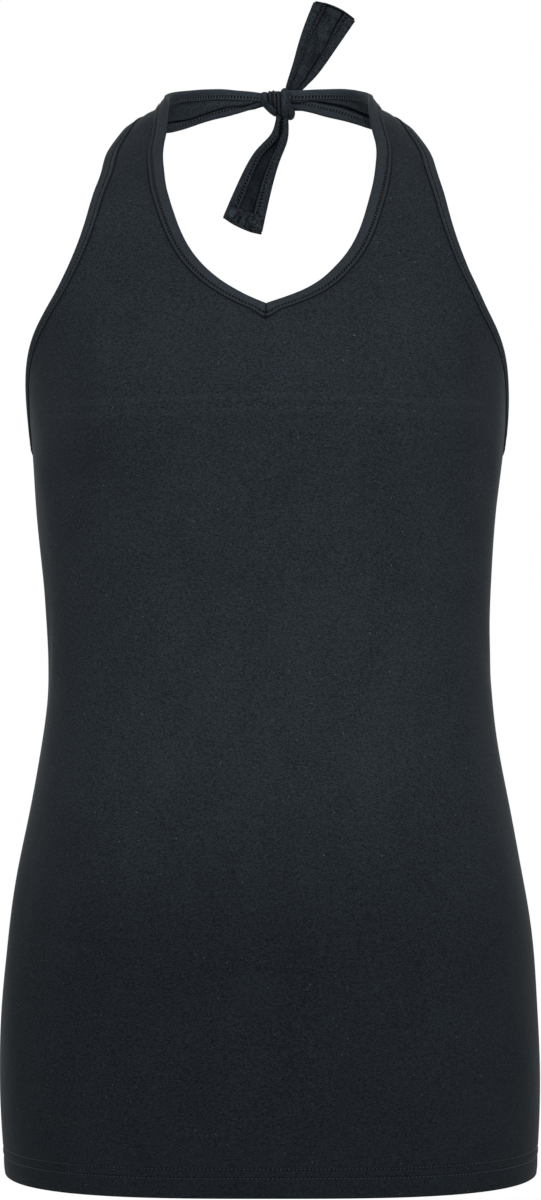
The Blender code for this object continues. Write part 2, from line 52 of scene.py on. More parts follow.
def ramp(value, start, over):
    # smoothly from 0 up to 1
    share = np.clip((value - start) / over, 0, 1)
    return share * share * (3 - 2 * share)


def hill(value, middle, width, power=2):
    return np.exp(-((value - middle) / width) ** power)


def unit(vectors):
    return vectors / np.linalg.norm(vectors, axis=-1, keepdims=True)


def runOf(points):
    # distance travelled along a line of points
    steps = np.linalg.norm(np.diff(points, axis=0), axis=1)
    return np.concatenate([[0], np.cumsum(steps)])


def smoothCurve(places, values):
    # natural cubic spline
    places, values = np.asarray(places, float), np.asarray(values, float)
    count = len(places)
    steps = np.diff(places)
    matrix, rates = np.eye(count), np.zeros(count)
    for i in range(1, count - 1):
        matrix[i, i - 1:i + 2] = steps[i - 1], 2 * (steps[i - 1] + steps[i]), steps[i]
        rates[i] = 6 * ((values[i + 1] - values[i]) / steps[i]
                        - (values[i] - values[i - 1]) / steps[i - 1])
    bends = np.linalg.solve(matrix, rates)

    def curve(at):
        at = np.asarray(at, float)
        i = np.clip(np.searchsorted(places, at) - 1, 0, count - 2)
        past, left, step = at - places[i], places[i + 1] - at, steps[i]
        cubic = (bends[i] * left ** 3 + bends[i + 1] * past ** 3) / (6 * step)
        start = (values[i] / step - bends[i] * step / 6) * left
        finish = (values[i + 1] / step - bends[i + 1] * step / 6) * past
        return cubic + start + finish

    return curve


# the form, in millimetres above the hem, as the solids have it
bodyColumns = ("height", "halfWidth", "front", "back", "axis", "squareness", "sway")
bodyRows = [
    (0, 169.2, 118.4, 112, -70, 0.082, 1.6), (45, 171.9, 119, 117, -70, 0.075, 1.2),
    (110, 170.6, 119.5, 120, -70, 0.06, 0.9), (174, 163.8, 118, 111, -70, 0.045, 1.1),
    (238, 151.9, 111.5, 96, -70, 0.035, 1), (302, 141.9, 104, 84, -70, 0.035, 0.6),
    (366, 141.5, 103.5, 81, -70, 0.035, -0.4), (430, 147.3, 112, 86, -70, 0.035, -0.6),
    (494, 153.3, 119.5, 91, -70, 0.035, -0.2), (526, 156.3, 115, 92, -70, 0.035, -1.1),
    (556, 158.2, 106, 91, -70, 0.035, -0.9), (585, 157.5, 96, 88, -69, 0.035, -0.2),
    (606, 153, 88, 83, -67, 0.035, 0.1), (622, 143.5, 81, 77, -64, 0.035, 0.3),
    (635, 129.5, 75, 73.4, -62.5, 0.035, 0.3), (648, 114.5, 67.5, 69.8, -61.2, 0.035, 0.2),
    (660, 99.8, 60, 66.4, -60.4, 0.035, 0.1), (672, 85.2, 53.8, 63.4, -60, 0.035, 0),
    (682, 72.6, 49.8, 61.2, -60, 0.035, 0.2), (692, 62.6, 47.2, 59.8, -60, 0.035, 0.3),
    (712, 55.5, 45.5, 58, -60, 0.035, 0.3),
]
bodyCurves = {
    name: smoothCurve([row[0] for row in bodyRows], [row[k] for row in bodyRows])
    for k, name in enumerate(bodyColumns) if k
}
bust = {"turn": (36.0, 17.0), "height": (488.0, 42.0), "push": 9.0}    # middles and widths

# finished edges: turn from centre front in degrees, height
neckEdge = [
    (0, 548.2), (4.7, 553.2), (10, 560.8), (15, 572.3), (18.3, 584), (21.2, 599.5), (25.1, 620),
    (30.2, 636.2), (36.4, 652.8), (44.7, 669.6), (57, 680.6), (72, 687), (90, 691), (110, 695.6),
    (135, 698.8), (160, 700.2), (174, 700.4),
]
armholeEdge = [
    (90, 476.5), (83.5, 494), (76, 514), (67.7, 530.8), (56.2, 553.5), (47.7, 584.3), (45.8, 607),
    (49.2, 627.5), (55.2, 639.4), (63.3, 650.4), (76, 663.2), (90, 669.6), (110, 672.2),
    (129, 672.4), (145.4, 680.4), (160.4, 686.6), (174, 689.5),
]
backEdge = [(90, 476.5), (96, 469.5), (108, 463), (130, 458), (180, 454.5)]

cloth = {
    "thick": 0.9,            # one layer of jersey, drawn a little thick
    "bindingWidth": 9.4, "edgeSetback": 1.8,
    "nape": (0.0, -5.0, 690.0), "seamDepth": -70.0,
}
strapMiddle = 10.2      # mm of a strap between its bindings


def bodyPoint(turn, height):
    turn, height = np.asarray(turn, float), np.asarray(height, float)
    angle = np.radians(turn)
    front = np.cos(angle) >= 0
    depth = np.where(front, bodyCurves["front"](height), bodyCurves["back"](height))
    # the front is fuller toward its middle, the back half as full
    lean = np.where(front, 1 + 0.4 * np.cos(2 * angle), 0.5)
    fuller = 1 + bodyCurves["squareness"](height) * np.sin(2 * angle) ** 2 * lean
    push = bust["push"] * hill(np.abs(turn), *bust["turn"]) * hill(height, *bust["height"])
    x = bodyCurves["halfWidth"](height) * np.sin(angle) * fuller
    y = bodyCurves["axis"](height) - depth * np.cos(angle) * fuller - push
    return np.stack([x, y, height + 0 * x], -1)


def bodyFrame(turn, height):
    # along the turn, up the cloth, and straight out of it
    small = 0.05
    around = (bodyPoint(turn + small, height) - bodyPoint(turn - small, height)) / (2 * small)
    rise = (bodyPoint(turn, height + small) - bodyPoint(turn, height - small)) / (2 * small)
    return around, rise, unit(np.cross(around, rise))


def stepOnBody(turn, height, direction, distance):
    # in four short steps, so that the distance holds on curved cloth
    for _ in range(4):
        around, rise = bodyFrame(turn, height)[:2]
        aa, ar = np.sum(around * around, -1), np.sum(around * rise, -1)
        rr = np.sum(rise * rise, -1)
        da, dr = np.sum(direction * around, -1), np.sum(direction * rise, -1)
        base = aa * rr - ar * ar
        turn = turn + (da * rr - dr * ar) / base * distance / 4
        height = height + (dr * aa - da * ar) / base * distance / 4
    return turn, height


def edgeStations(table, part, rows):
    turns, heights = np.array(table, float).T
    lengths = runOf(bodyPoint(turns, heights))
    turnCurve, heightCurve = smoothCurve(lengths, turns), smoothCurve(lengths, heights)
    fine = np.linspace(0, lengths[-1], 3000)
    shoulder = np.nonzero(turnCurve(fine) < 90)[0][-1] + 1
    fine = fine[:shoulder + 1] if part == "front" else fine[shoulder:]
    run = runOf(bodyPoint(turnCurve(fine), heightCurve(fine)))
    places = np.interp(np.linspace(0, run[-1], rows + 1), run, fine)
    return turnCurve(places), heightCurve(places)


# how wide the neck binding shows, by the distance from the V along its edge
neckBindingWidths = smoothCurve((0, 4, 11, 25, 42, 64, 92, 120, 500),
                                (8.6, 7.2, 6.7, 7.0, 7.6, 8.2, 8.9, 9.2, 9.3))


def strapEdge(table):
    front = edgeStations(table, "front", counts["strapFront"])
    back = edgeStations(table, "back", counts["strapBack"])
    return [np.concatenate([f, b[1:]]) for f, b in zip(front, back)]


def insetEdge(turns, heights, side, distance):
    along = unit(np.gradient(bodyPoint(turns, heights), axis=0))
    out = bodyFrame(turns, heights)[2]
    return stepOnBody(turns, heights, side * unit(np.cross(along, out)), distance)


def seamStretch(table):
    first, second = bodyPoint(*np.array(table[:2], float).T)
    move = second - first
    return math.hypot(1, abs(move[2]) / math.hypot(move[0], move[1]))


# creases and soft unevenness of the worn cloth
# turn and height of the middle, length, width, lean in degrees, how deep, bend
creases = [
    (-79, 336, 62, 8, 78, 0.7, 3), (-68, 316, 50, 10, 24, 0.35, 2), (-52, 444, 78, 13, 8, 3.2, 5),
    (55, 450, 80, 14, -10, 1.6, -5), (77, 328, 58, 9, -34, 0.4, 3),
    (-28, 300, 120, 26, 8, 0.5, 5), (31, 276, 104, 22, -10, 0.45, -4),
    (12, 150, 130, 30, 70, 0.5, 6), (-40, 96, 110, 24, 82, 0.55, 4),
    (48, 84, 120, 22, 96, 0.5, -5), (118, 330, 84, 11, -22, 1.3, 4),
    (-121, 318, 90, 12, 20, 1.2, 5), (140, 292, 96, 14, -9, 1.0, 5),
    (-146, 350, 88, 13, 12, 1.1, -4), (172, 376, 110, 15, 3, 0.6, 6),
    (160, 120, 120, 22, 80, 0.6, 5), (-138, 100, 130, 24, 97, 0.55, -4),
    (100, 140, 110, 18, 84, 0.5, 4), (-101, 128, 100, 18, 92, 0.45, 4),
]
softWaves = [   # cycles round, cycles per metre up, phase, size in mm
    (5, 3.1, 0.4, 0.32), (9, 5.3, 2.1, 0.22), (13, 2.2, 4.0, 0.16),
    (7, 9.7, 1.1, 0.14), (17, 6.4, 5.2, 0.10), (3, 13.0, 3.3, 0.12),
]
degreeLength = 2.25     # mm of cloth in a degree of turn
# the roll beside a crease, by the crease's width and depth
besideCrease = {"at": 1.7, "width": 1.3, "depth": 0.45}


def unevenness(turn, height):
    # how far out of the even form the cloth stands
    out = np.zeros(np.shape(turn))
    for middleTurn, middle, length, width, lean, depth, bend in creases:
        du = (turn - middleTurn + 180) % 360 - 180
        du, dv = du * degreeLength, height - middle
        c, s = math.cos(math.radians(lean)), math.sin(math.radians(lean))
        along, across = du * c + dv * s, dv * c - du * s
        across = across - bend * (2 * along / length) ** 2
        section = hill(across, 0, width) - besideCrease["depth"] * hill(
            across, besideCrease["at"] * width, besideCrease["width"] * width)
        out = out - depth * hill(along, 0, length / 2, 4) * section
    fade = ramp(height, 15, 60) * ramp(height, 640, -60)
    for cycles, rise, phase, size in softWaves:
        wave = np.sin(np.radians(turn) * cycles + phase + 2 * height * rise * math.pi * mm)
        out = out + size * wave * fade
    return out


# how far the worn cloth lies off the even form, in mm: the straps leaning over to the knot,
# the neckline, the V and the dip at each shoulder; and where, as a ramp's start and length
# or a hill's middle and width, in mm or in degrees of turn
worn = {
    "knot": 6.0, "strapHeights": (600, 40), "strapDepths": (-60, 58),
    "neck": 1.1, "neckTurns": (0, 26), "neckHeights": (535, 30),
    "vee": 1.3, "veeTurns": (0, 7), "veeHeights": (545, 16),
    "shiftTurns": (62, -20),
    "dip": 1.8, "dipAcross": (71.5, 4.5), "dipHeights": (668, 12),
}
# how far the neckline lies to the wearer's left of the even form: heights, then distances
neckShift = {
    "Left": ((515, 530, 545, 556, 562, 570, 590, 640, 655, 668, 680),
             (0, 0.6, 0.6, 1.3, 1.0, 0.2, 0.1, 0.1, 0.8, 0.5, 0)),
    "Right": ((515, 530, 548, 556, 570, 590, 612, 622, 635, 650, 662, 680),
              (0, 0.6, 0.7, 1.6, 1.4, 0.9, 0.1, 0.1, 0.9, 1.1, 0.8, 0)),
}


def hung(points):
    # the even form with its creases and sway, its straps drawn over to the knot
    height = points[..., 2]
    axis = bodyCurves["axis"](height)
    front = points[..., 1] < axis
    depth = np.where(front, bodyCurves["front"](height), bodyCurves["back"](height))
    across = points[..., 0] / bodyCurves["halfWidth"](height)
    turn = np.degrees(np.arctan2(across, (axis - points[..., 1]) / depth))
    moved = points + bodyFrame(turn, height)[2] * unevenness(turn, height)[..., None]
    above = ramp(height, *worn["strapHeights"])
    behind = ramp(points[..., 1], *worn["strapDepths"])
    vee = hill(turn, *worn["veeTurns"]) * hill(height, *worn["veeHeights"])
    neck = hill(turn, *worn["neckTurns"]) * ramp(height, *worn["neckHeights"]) * (1 - above)
    moved[..., 0] += bodyCurves["sway"](height) + worn["knot"] * above * behind
    moved[..., 0] += worn["neck"] * neck - worn["vee"] * vee
    shift = np.where(turn > 0, *[np.interp(height, *neckShift[side]) for side in neckShift])
    moved[..., 0] += shift * ramp(np.abs(turn), *worn["shiftTurns"])
    dip = hill(np.abs(points[..., 0]), *worn["dipAcross"]) * ramp(height, *worn["dipHeights"])
    moved[..., 2] -= worn["dip"] * dip
    return moved


def mirror(points):
    return points * np.array([-1, 1, 1])


def toFrame(points):
    return (points - np.array(cloth["nape"])) * mm


# rows and columns of the cloth
counts = {"columns": 42, "torso": 96, "strapFront": 120, "strapBack": 64}

# behind the neck each strap is drawn narrow: along it from shoulder to knot, how far its
# edges lie from the form's, how much of each binding shows, how high the hollow between
# is, and how far the middle stands forward
foldColumns = ("share", "upperLift", "lowerLift", "upperShown", "lowerShown", "hollow", "forward")
strapFolds = {
    "Left": [
        (0.00, 0.0, 0.0, 9.4, 9.4, 1.0, 1.0), (0.2, -0.8, -0.8, 8.3, 9.3, 2.6, 1.0),
        (0.35, -0.3, -0.4, 7.4, 9.2, 4.5, 1.0), (0.54, 0.8, 0.5, 6.8, 8.8, 5.8, 1.0),
        (0.675, 0.9, -0.6, 6.6, 8.7, 3.7, 1.0), (0.775, 0.8, -1.4, 6.6, 8.2, 2.9, 1.0),
        (0.84, 0.6, -1.1, 6.6, 7.6, 1.4, 1.0), (0.93, 0.4, -0.7, 6.6, 4.8, 0.7, 1.0),
        (1.00, 0.4, -0.5, 6.4, 4.2, 0.5, 1.0),
    ],
    "Right": [
        (0.00, 0.0, 0.0, 9.4, 9.4, 1.0, 1.0), (0.18, -0.6, -1.4, 8.4, 8.6, 2.0, 1.4),
        (0.35, -0.2, -1.2, 7.2, 7.6, 3.2, 2.2), (0.585, 0.9, 0.3, 6.8, 6.9, 2.9, 3.4),
        (0.68, 0.7, -0.2, 6.7, 7.0, 2.0, 3.4), (0.745, 0.2, -0.7, 6.6, 7.1, 0.9, 3.0),
        (0.86, -0.5, -0.1, 6.0, 4.8, 0.4, 2.0), (0.93, -1.2, 1.3, 5.5, 4.2, 0.3, 1.4),
        (1.00, -2.0, 3.0, 5.0, 3.9, 0.2, 1.0),
    ],
}


def tuckedSection(upper, lower, along, fold):
    # a strap's section: both bindings face in, the middle tucks down behind the lower one
    width = np.linalg.norm(upper - lower)
    up = (upper - lower) / width
    out = unit(np.cross(along, up))
    binding = cloth["bindingWidth"]
    upperInner, lowerInner = width - fold["upperShown"], fold["lowerShown"]
    shown = max(upperInner - lowerInner, 0.3)
    hidden = max(strapMiddle - shown, 0.0) / 2
    deep, ahead = fold["dip"], fold["dip"] * fold["forward"]
    tilt = math.sqrt(max(0.0, (0.7 * binding) ** 2 - fold["lowerShown"] ** 2)) * 0.6
    ridge = min(fold["hollow"], 0.7 * shown)
    path = np.array([
        (upperInner, -0.7 * ahead), (lerp(upperInner, lowerInner + ridge, 0.5), -1.1 * ahead),
        (lowerInner + ridge, -ahead), (lowerInner + 0.6 * ridge, 1.6 * deep - 0.5 * ahead),
        (lowerInner + 0.1, 3.0 * deep + tilt), (lowerInner - hidden, 3.4 * deep + tilt),
        (lowerInner - hidden - 0.7 * deep, 2.7 * deep + tilt),
        (lowerInner - hidden, 2.0 * deep + tilt), (lowerInner, tilt),
    ])
    run = runOf(path)
    at = np.linspace(0, run[-1], counts["columns"] + 1)
    middlePath = np.stack([np.interp(at, run, path[:, k]) for k in range(2)], -1)
    middlePath[1:-1] = (middlePath[:-2] + 2 * middlePath[1:-1] + middlePath[2:]) / 4
    setback = cloth["edgeSetback"]
    first = (width - setback, -0.7 * ahead * setback / binding)
    last = (setback, tilt * setback / binding)
    places = np.array([first, *middlePath, last])
    return lower + places[:, :1] * up + places[:, 1:] * out


def columnShares():
    # crowded near the side seam, so that it can pull in
    even = np.linspace(0, 0.965, counts["columns"] - 3)
    return np.concatenate([even, [0.979, 0.988, 0.994, 1.0]])


def strapGrid(folds):
    neck, armhole = strapEdge(neckEdge), strapEdge(armholeEdge)
    edges = {}
    for name, stations, side, table in (("neck", neck, 1, neckEdge),
                                        ("armhole", armhole, -1, armholeEdge)):
        width = np.full(len(stations[0]), cloth["bindingWidth"])
        if name == "neck":
            width = neckBindingWidths(runOf(bodyPoint(*stations)))
        for place, distance in (("edgeSetback", cloth["edgeSetback"] + 0 * width),
                                ("bindingWidth", width)):
            turns, heights = insetEdge(*stations, side, distance)
            turns[0] = table[0][0]
            heights[0] = table[0][1] - distance[0] * seamStretch(table)
            edges[name, place] = np.stack([turns, heights], -1)
    inner = [edges[name, "bindingWidth"][:, None] for name in ("neck", "armhole")]
    places = np.concatenate([
        edges["neck", "edgeSetback"][:, None], lerp(*inner, columnShares()[None, :, None]),
        edges["armhole", "edgeSetback"][:, None]], 1)
    rows = bodyPoint(places[..., 0], places[..., 1])

    upper, lower = bodyPoint(*neck), bodyPoint(*armhole)
    first = counts["strapFront"]
    share = np.clip((np.arange(len(rows)) - first) / counts["strapBack"], 0, 1)
    table = np.array(folds)
    folded = {name: smoothCurve(table[:, 0], table[:, k])(share)
              for k, name in enumerate(foldColumns)}
    folded["dip"] = ramp(share, 0.1, 0.4)
    upper[:, 2] += folded["upperLift"]
    lower[:, 2] += folded["lowerLift"]
    along = unit(np.gradient((upper + lower) / 2, axis=0))
    for i in range(first, len(rows)):
        fold = {name: values[i] for name, values in folded.items()}
        section = tuckedSection(upper[i], lower[i], along[i], fold)
        rows[i] = lerp(rows[i], section, ramp(share[i], 0, 1 / 3))
    return rows


# the turned hem puffs between its two rows of stitching: how far out, height, spread
hemPuffs = [(0.30, 6.0, 4.6), (0.22, 15.3, 1.8), (-0.34, 12.5, 0.75), (-0.42, 18.1, 0.75)]


def hemProfile(height):
    return sum(size * hill(height, middle, spread) for size, middle, spread in hemPuffs)


firstHeight = 1.15      # mm above the hem of the first row outside
# the turned part inside: heights of its rows from the raw edge down, and shares of the
# half turn round the fold
turnedHem = {"heights": (18.6, 12.0, 5.0, firstHeight), "radius": 0.7,
             "shares": (0.8, 0.6, 0.4, 0.2)}
hemCount = len(turnedHem["heights"]) + len(turnedHem["shares"])


def torsoHeights(top):
    # close together over the hem and its stitching
    low = np.concatenate([[firstHeight, 1.9], np.arange(2.7, 20.4, 0.7)])
    return np.concatenate([low, np.linspace(low[-1], top, counts["torso"] + 1)[1:-1]])


def hemRows(turns):
    # from the raw edge inside down round the fold
    rows = []
    radius = turnedHem["radius"]
    for height in turnedHem["heights"]:
        foot = bodyPoint(turns, height + 0 * turns)
        out = bodyFrame(turns, height + 0 * turns)[2]
        rows.append(foot - out * 2 * radius)
    for angle in math.pi * np.array(turnedHem["shares"]):
        inward = out * radius * (1 - math.cos(angle))
        rows.append(foot - inward - np.array([0, 0, radius * math.sin(angle)]))
    return rows


def sideHeight(height, centreTop, sideTop):
    return height - (centreTop - sideTop) * (height / centreTop) ** 3


sideSeam = {"pull": 0.75, "depths": (cloth["seamDepth"], 1.5), "heights": (478, -6)}


def seamPull(points):
    # cloth drawn in where front and back are sewn together
    near = hill(points[..., 1], *sideSeam["depths"]) * ramp(points[..., 2], *sideSeam["heights"])
    pulled = points.copy()
    pulled[..., 0] -= np.sign(points[..., 0]) * sideSeam["pull"] * near
    return pulled


def withHem(turns, heights):
    points = bodyPoint(turns, heights)
    out = bodyFrame(turns, heights)[2]
    return points + out * hemProfile(heights)[..., None]


def torsoGrid(vRow):
    centreTop, sideTop = vRow[1, 2], vRow[-2, 2]
    shares = columnShares()
    turns = 90 * shares
    rows = hemRows(turns)
    for height in torsoHeights(centreTop):
        rows.append(withHem(turns, lerp(height, sideHeight(height, centreTop, sideTop), shares)))
    return np.array([*rows, vRow[1:-1]])


def backGrid(sideRaw, sideInner, centreTop):
    shares = columnShares()
    turns = np.concatenate([180 - 90 * shares[::-1], 180 + 90 * shares[1:]])
    mirrored = np.where(turns > 180, 360 - turns, turns)
    finished = smoothCurve(*np.array(backEdge, float).T)(mirrored)
    points = bodyPoint(turns, finished)
    run = np.linalg.norm(np.gradient(points[:, :2], axis=0), axis=1)
    stretch = np.hypot(1, np.gradient(finished) / run)
    inner = finished - cloth["bindingWidth"] * stretch
    raw = finished - cloth["edgeSetback"] * stretch
    inner[0] = inner[-1] = sideInner
    raw[0] = raw[-1] = sideRaw
    rows = hemRows(turns)
    for height in torsoHeights(centreTop):
        atSide = sideHeight(height, centreTop, sideInner)
        dip = (inner - sideInner) * (atSide / sideInner) ** 3
        rows.append(withHem(turns, atSide + dip))
    return np.array([*rows, bodyPoint(turns, inner), bodyPoint(turns, raw)])


# meshes
def meshOf(shell, name):
    mesh = bpy.data.meshes.new(name)
    shell.to_mesh(mesh)
    shell.free()
    return mesh


def meshFromGrids(name, grids, facing):
    # each grid is (points in the form's millimetres, flat places in metres)
    shell = bmesh.new()
    flatLayer = shell.loops.layers.uv.new("flat")
    for points, flat in grids:
        placed = toFrame(points)
        verts = [[shell.verts.new(point) for point in row] for row in placed]
        for i in range(len(verts) - 1):
            for j in range(len(verts[0]) - 1):
                corners = ((i, j), (i, j + 1), (i + 1, j + 1), (i + 1, j))
                face = shell.faces.new([verts[r][c] for r, c in corners])
                face.smooth = True
                for loop, (r, c) in zip(face.loops, corners):
                    loop[flatLayer].uv = flat[r, c]
    bmesh.ops.remove_doubles(shell, verts=shell.verts, dist=0.02 * mm)
    bmesh.ops.recalc_face_normals(shell, faces=shell.faces)
    turned = sum(face.normal.dot(facing(face.calc_center_median())) * face.calc_area()
                 for face in shell.faces)
    if turned < 0:
        bmesh.ops.reverse_faces(shell, faces=shell.faces)
    return meshOf(shell, name)


def addObject(name, data):
    made = bpy.data.objects.new(name, data)
    bpy.context.scene.collection.objects.link(made)
    return made


def addPiece(name, mesh, materials, replaced=None, thick=None):
    piece = addObject(name, mesh)
    for material in materials:
        mesh.materials.append(material)
    if thick:
        wall = piece.modifiers.new("wall", "SOLIDIFY")
        wall.thickness = thick * mm
        wall.offset = 0.0
        wall.material_offset = len(materials) - 1
    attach(piece, "root")
    if replaced:
        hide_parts(replaced)
    return piece


def flatPlaces(points, row=0, above=0.0):
    # where each point lies on the cloth laid flat, in metres; one row is a known way up
    up, side = [np.insert(np.cumsum(np.linalg.norm(np.diff(points, axis=way), axis=2), way),
                          0, 0, way) for way in (0, 1)]
    return np.stack([side, up - up[row] + above], -1) * mm


def outOfBody(centre):
    _x, y, height = cloth["nape"]
    axis = bodyCurves["axis"](centre.z / mm + height) - y
    return Vector((centre.x, centre.y - axis * mm, 0))


def threadRow(name, line, out, settings, material, run):
    # stitches along a line: short rounded threads, lying along it or leaning across
    count = int(run[-1] / settings["pitch"])
    middles = (np.arange(count) + (1 + settings["gap"]) / 2) * settings["pitch"]
    place, normal = [np.stack([np.interp(middles, run, rows[:, k]) for k in range(3)], -1)
                     for rows in (line, out)]
    normal, ahead = unit(normal), unit(np.gradient(place, axis=0))
    across = unit(np.cross(normal, ahead))
    lean = math.radians(settings["lean"])
    stitch = ahead * math.cos(lean) + across * math.sin(lean)
    beside = unit(np.cross(normal, stitch))
    half, radius = settings["length"] / 2, settings["radius"]
    # the rings of one stitch: how far along it, and how full
    rings = [(-1.0, 0.25), (-0.8, 0.8), (-0.3, 1.0), (0.3, 1.0), (0.8, 0.8), (1.0, 0.25)]
    sides = 6
    verts = []
    for along, size in rings:
        dip = -0.5 * radius * along ** 2
        for k in range(sides):
            angle = 2 * math.pi * k / sides
            verts.append(place + stitch * half * along
                         + beside * radius * size * math.cos(angle)
                         + normal * (radius * size * math.sin(angle) + dip + settings["lift"]))
    verts = np.stack(verts, 1)
    faces = []
    for start in range(0, count * len(rings) * sides, len(rings) * sides):
        end = start + (len(rings) - 1) * sides
        for ring in range(start, end, sides):
            for k in range(sides):
                a, b = ring + k, ring + (k + 1) % sides
                faces.append((a, b, b + sides, a + sides))
        faces += [tuple(range(start + sides - 1, start - 1, -1)), tuple(range(end, end + sides))]
    mesh = bpy.data.meshes.new(name)
    mesh.from_pydata(toFrame(verts.reshape(-1, 3)).tolist(), [], faces)
    for polygon in mesh.polygons:
        polygon.use_smooth = True
    return addPiece(name, mesh, [material])


# materials
def hexColour(text):
    values = [int(text[i:i + 2], 16) / 255 for i in (0, 2, 4)]
    linear = [v / 12.92 if v <= 0.04045 else ((v + 0.055) / 1.055) ** 2.4 for v in values]
    return (*linear, 1)


def addNode(tree, kind, inputs=(), **settings):
    # a node with its settings; an input is a value, a socket, or a node for its result
    made = tree.nodes.new("ShaderNode" + kind)
    for key, value in settings.items():
        setattr(made, key, value)
    for key, value in inputs.items() if isinstance(inputs, dict) else enumerate(inputs):
        if isinstance(value, bpy.types.Node):
            value = next(output for output in value.outputs if output.enabled)
        if isinstance(value, bpy.types.NodeSocket):
            tree.links.new(value, made.inputs[key])
        else:
            made.inputs[key].default_value = value
    return made


def blankMaterial(name):
    material = bpy.data.materials.new(name)
    material.use_nodes = True
    material.node_tree.nodes.clear()
    return material, partial(addNode, material.node_tree)


jerseyLook = {
    "dark": "090c10", "light": "21272c", "lint": "7b8388",
    # mm of a fleck in the courses, in the grain and in the clouding; real wales stand about
    # 0.9 mm apart and the grain is finer still, so both are drawn coarser, to show
    "wale": 1.7, "waleRun": 0.38, "waleMix": 1.5, "waleDetail": 1.0,
    "grain": 0.55, "grainRun": 1.0, "grainMix": 2.4, "grainDetail": 1.0,
    "cloud": 30.0, "cloudRun": 1.6, "cloudMix": 0.35, "cloudDetail": 3.0,
    "lintEvery": 7.0, "lintSize": 0.055, "lintShare": 0.65, "lintMix": 0.22,
    "rough": 0.88, "specular": 0.1, "sheen": 0.06, "sheenRough": 0.3, "bloom": "c8d0d6",
    "bump": 0.3, "relief": 0.12, "crevice": 3.5, "creviceMix": 1.1, "shade": "02040a",
}


def jerseyMaterial(name, look, marks=()):
    # cotton-elastane single jersey, knitted and dyed: matt, faint level courses,
    # fine grain, a soft bloom of fibre toward the edges and a few specks of lint
    material, add = blankMaterial(name)
    place = add("TexCoord").outputs["Object"]
    # each pattern lightens or darkens from the middle of the two shades
    patterns, names = [], ("wale", "grain", "cloud")
    share = 0.5 - sum(look[pattern + "Mix"] for pattern in names) / 2
    for pattern in names:
        across = 1 / (look[pattern] * mm)
        mapped = add("Mapping", {
            "Vector": place, "Scale": (across, across, across / look[pattern + "Run"])})
        patterns.append(add("TexNoise", {"Vector": mapped, "Scale": 1.0, "Roughness": 0.5,
                                         "Detail": look[pattern + "Detail"]}))
        share = add("Math", (patterns[-1], look[pattern + "Mix"], share),
                    operation="MULTIPLY_ADD", use_clamp=pattern == "cloud")
    specks = add("TexVoronoi", {
        "Vector": place, "Scale": 1 / (look["lintEvery"] * mm), "Randomness": 1.0})
    near = add("Math", (specks, look["lintSize"]), operation="LESS_THAN")
    chance = add("SeparateColor", (specks.outputs["Color"],))
    lint = add("Math", (chance, 1 - look["lintShare"]), operation="GREATER_THAN")
    for factor in (near, look["lintMix"]):
        lint = add("Math", (lint, factor), operation="MULTIPLY")
    # colours that lie one over another, each by its share
    layers = [(share, look["light"]), (lint, look["lint"])]
    relief = add("Math", patterns[:2], operation="ADD")
    normal = add("Bump", {
        "Height": relief, "Strength": look["bump"], "Distance": look["relief"] * mm})
    for mark in marks:
        mark = {**plainMark, **mark}
        layers.append((markShare(add, mark), mark["colour"]))
        if mark["deep"]:
            normal = add("Bump", {"Height": layers[-1][0], "Distance": mark["deep"] * mm,
                                  "Strength": 1.0, "Normal": normal}, invert=True)
    # painted shade: deep between folds the cloth hardly catches the light, so ambient occlusion
    # darkens its colour toward the shade colour
    opening = add("AmbientOcclusion", {"Distance": look["crevice"] * mm}).outputs["AO"]
    creviceShade = add("MapRange", {
        "Value": opening, "From Min": 1.0, "From Max": 1 - 1 / look["creviceMix"]})
    colour = hexColour(look["dark"])
    for share, over in [*layers, (creviceShade, look["shade"])]:
        colour = add("Mix", {0: share, 6: colour, 7: hexColour(over)}, data_type="RGBA")
    shader = add("BsdfPrincipled", {
        "Base Color": colour, "Normal": normal, "Roughness": look["rough"],
        "Specular IOR Level": look["specular"], "Sheen Weight": look["sheen"],
        "Sheen Roughness": look["sheenRough"], "Sheen Tint": hexColour(look["bloom"])})
    add("OutputMaterial", {"Surface": shader})
    return material


# full: the share of a line's half width that is at full strength
plainMark = {"pitch": 0, "gap": 1.0, "lean": 0.0, "colour": "05070a", "across": 0, "deep": 0,
             "full": 0.6}


def markShare(add, mark):
    # a line along the flat cloth, or with a pitch a row of short marks, leaning or not
    flat = add("SeparateXYZ", (add("TexCoord").outputs["UV"],)).outputs
    beside = add("Math", (flat[1 - mark["across"]], mark["line"] * mm), operation="SUBTRACT")
    away = add("Math", (beside,), operation="ABSOLUTE")
    half = mark["half"] * mm
    share = add("MapRange", {"Value": away, "From Min": half, "From Max": half * mark["full"]})
    if mark["pitch"]:
        run = add("Math", (beside, mark["lean"], flat[0]), operation="MULTIPLY_ADD")
        run = add("Math", (run, mark["pitch"] * mm), operation="DIVIDE")
        phase = add("Math", (run,), operation="FRACT")
        shown = add("Math", (phase, mark["gap"]), operation="LESS_THAN")
        share = add("Math", (share, shown), operation="MULTIPLY")
    return add("Math", (share, mark["strength"]), operation="MULTIPLY")


def threadMaterial(name, look):
    # spun polyester sewing thread, dyed to match: a little glossier than the jersey
    material, add = blankMaterial(name)
    place = add("TexCoord").outputs["Object"]
    twist = add("TexNoise", {"Vector": place, "Scale": 1 / (look["twist"] * mm)})
    colour = add("Mix", {0: twist, 6: hexColour(look["dark"]), 7: hexColour(look["light"])},
                 data_type="RGBA")
    shader = add("BsdfPrincipled", {
        "Base Color": colour, "Roughness": look["rough"],
        "Specular IOR Level": look["specular"], "Sheen Weight": look["sheen"]})
    add("OutputMaterial", {"Surface": shader})
    return material
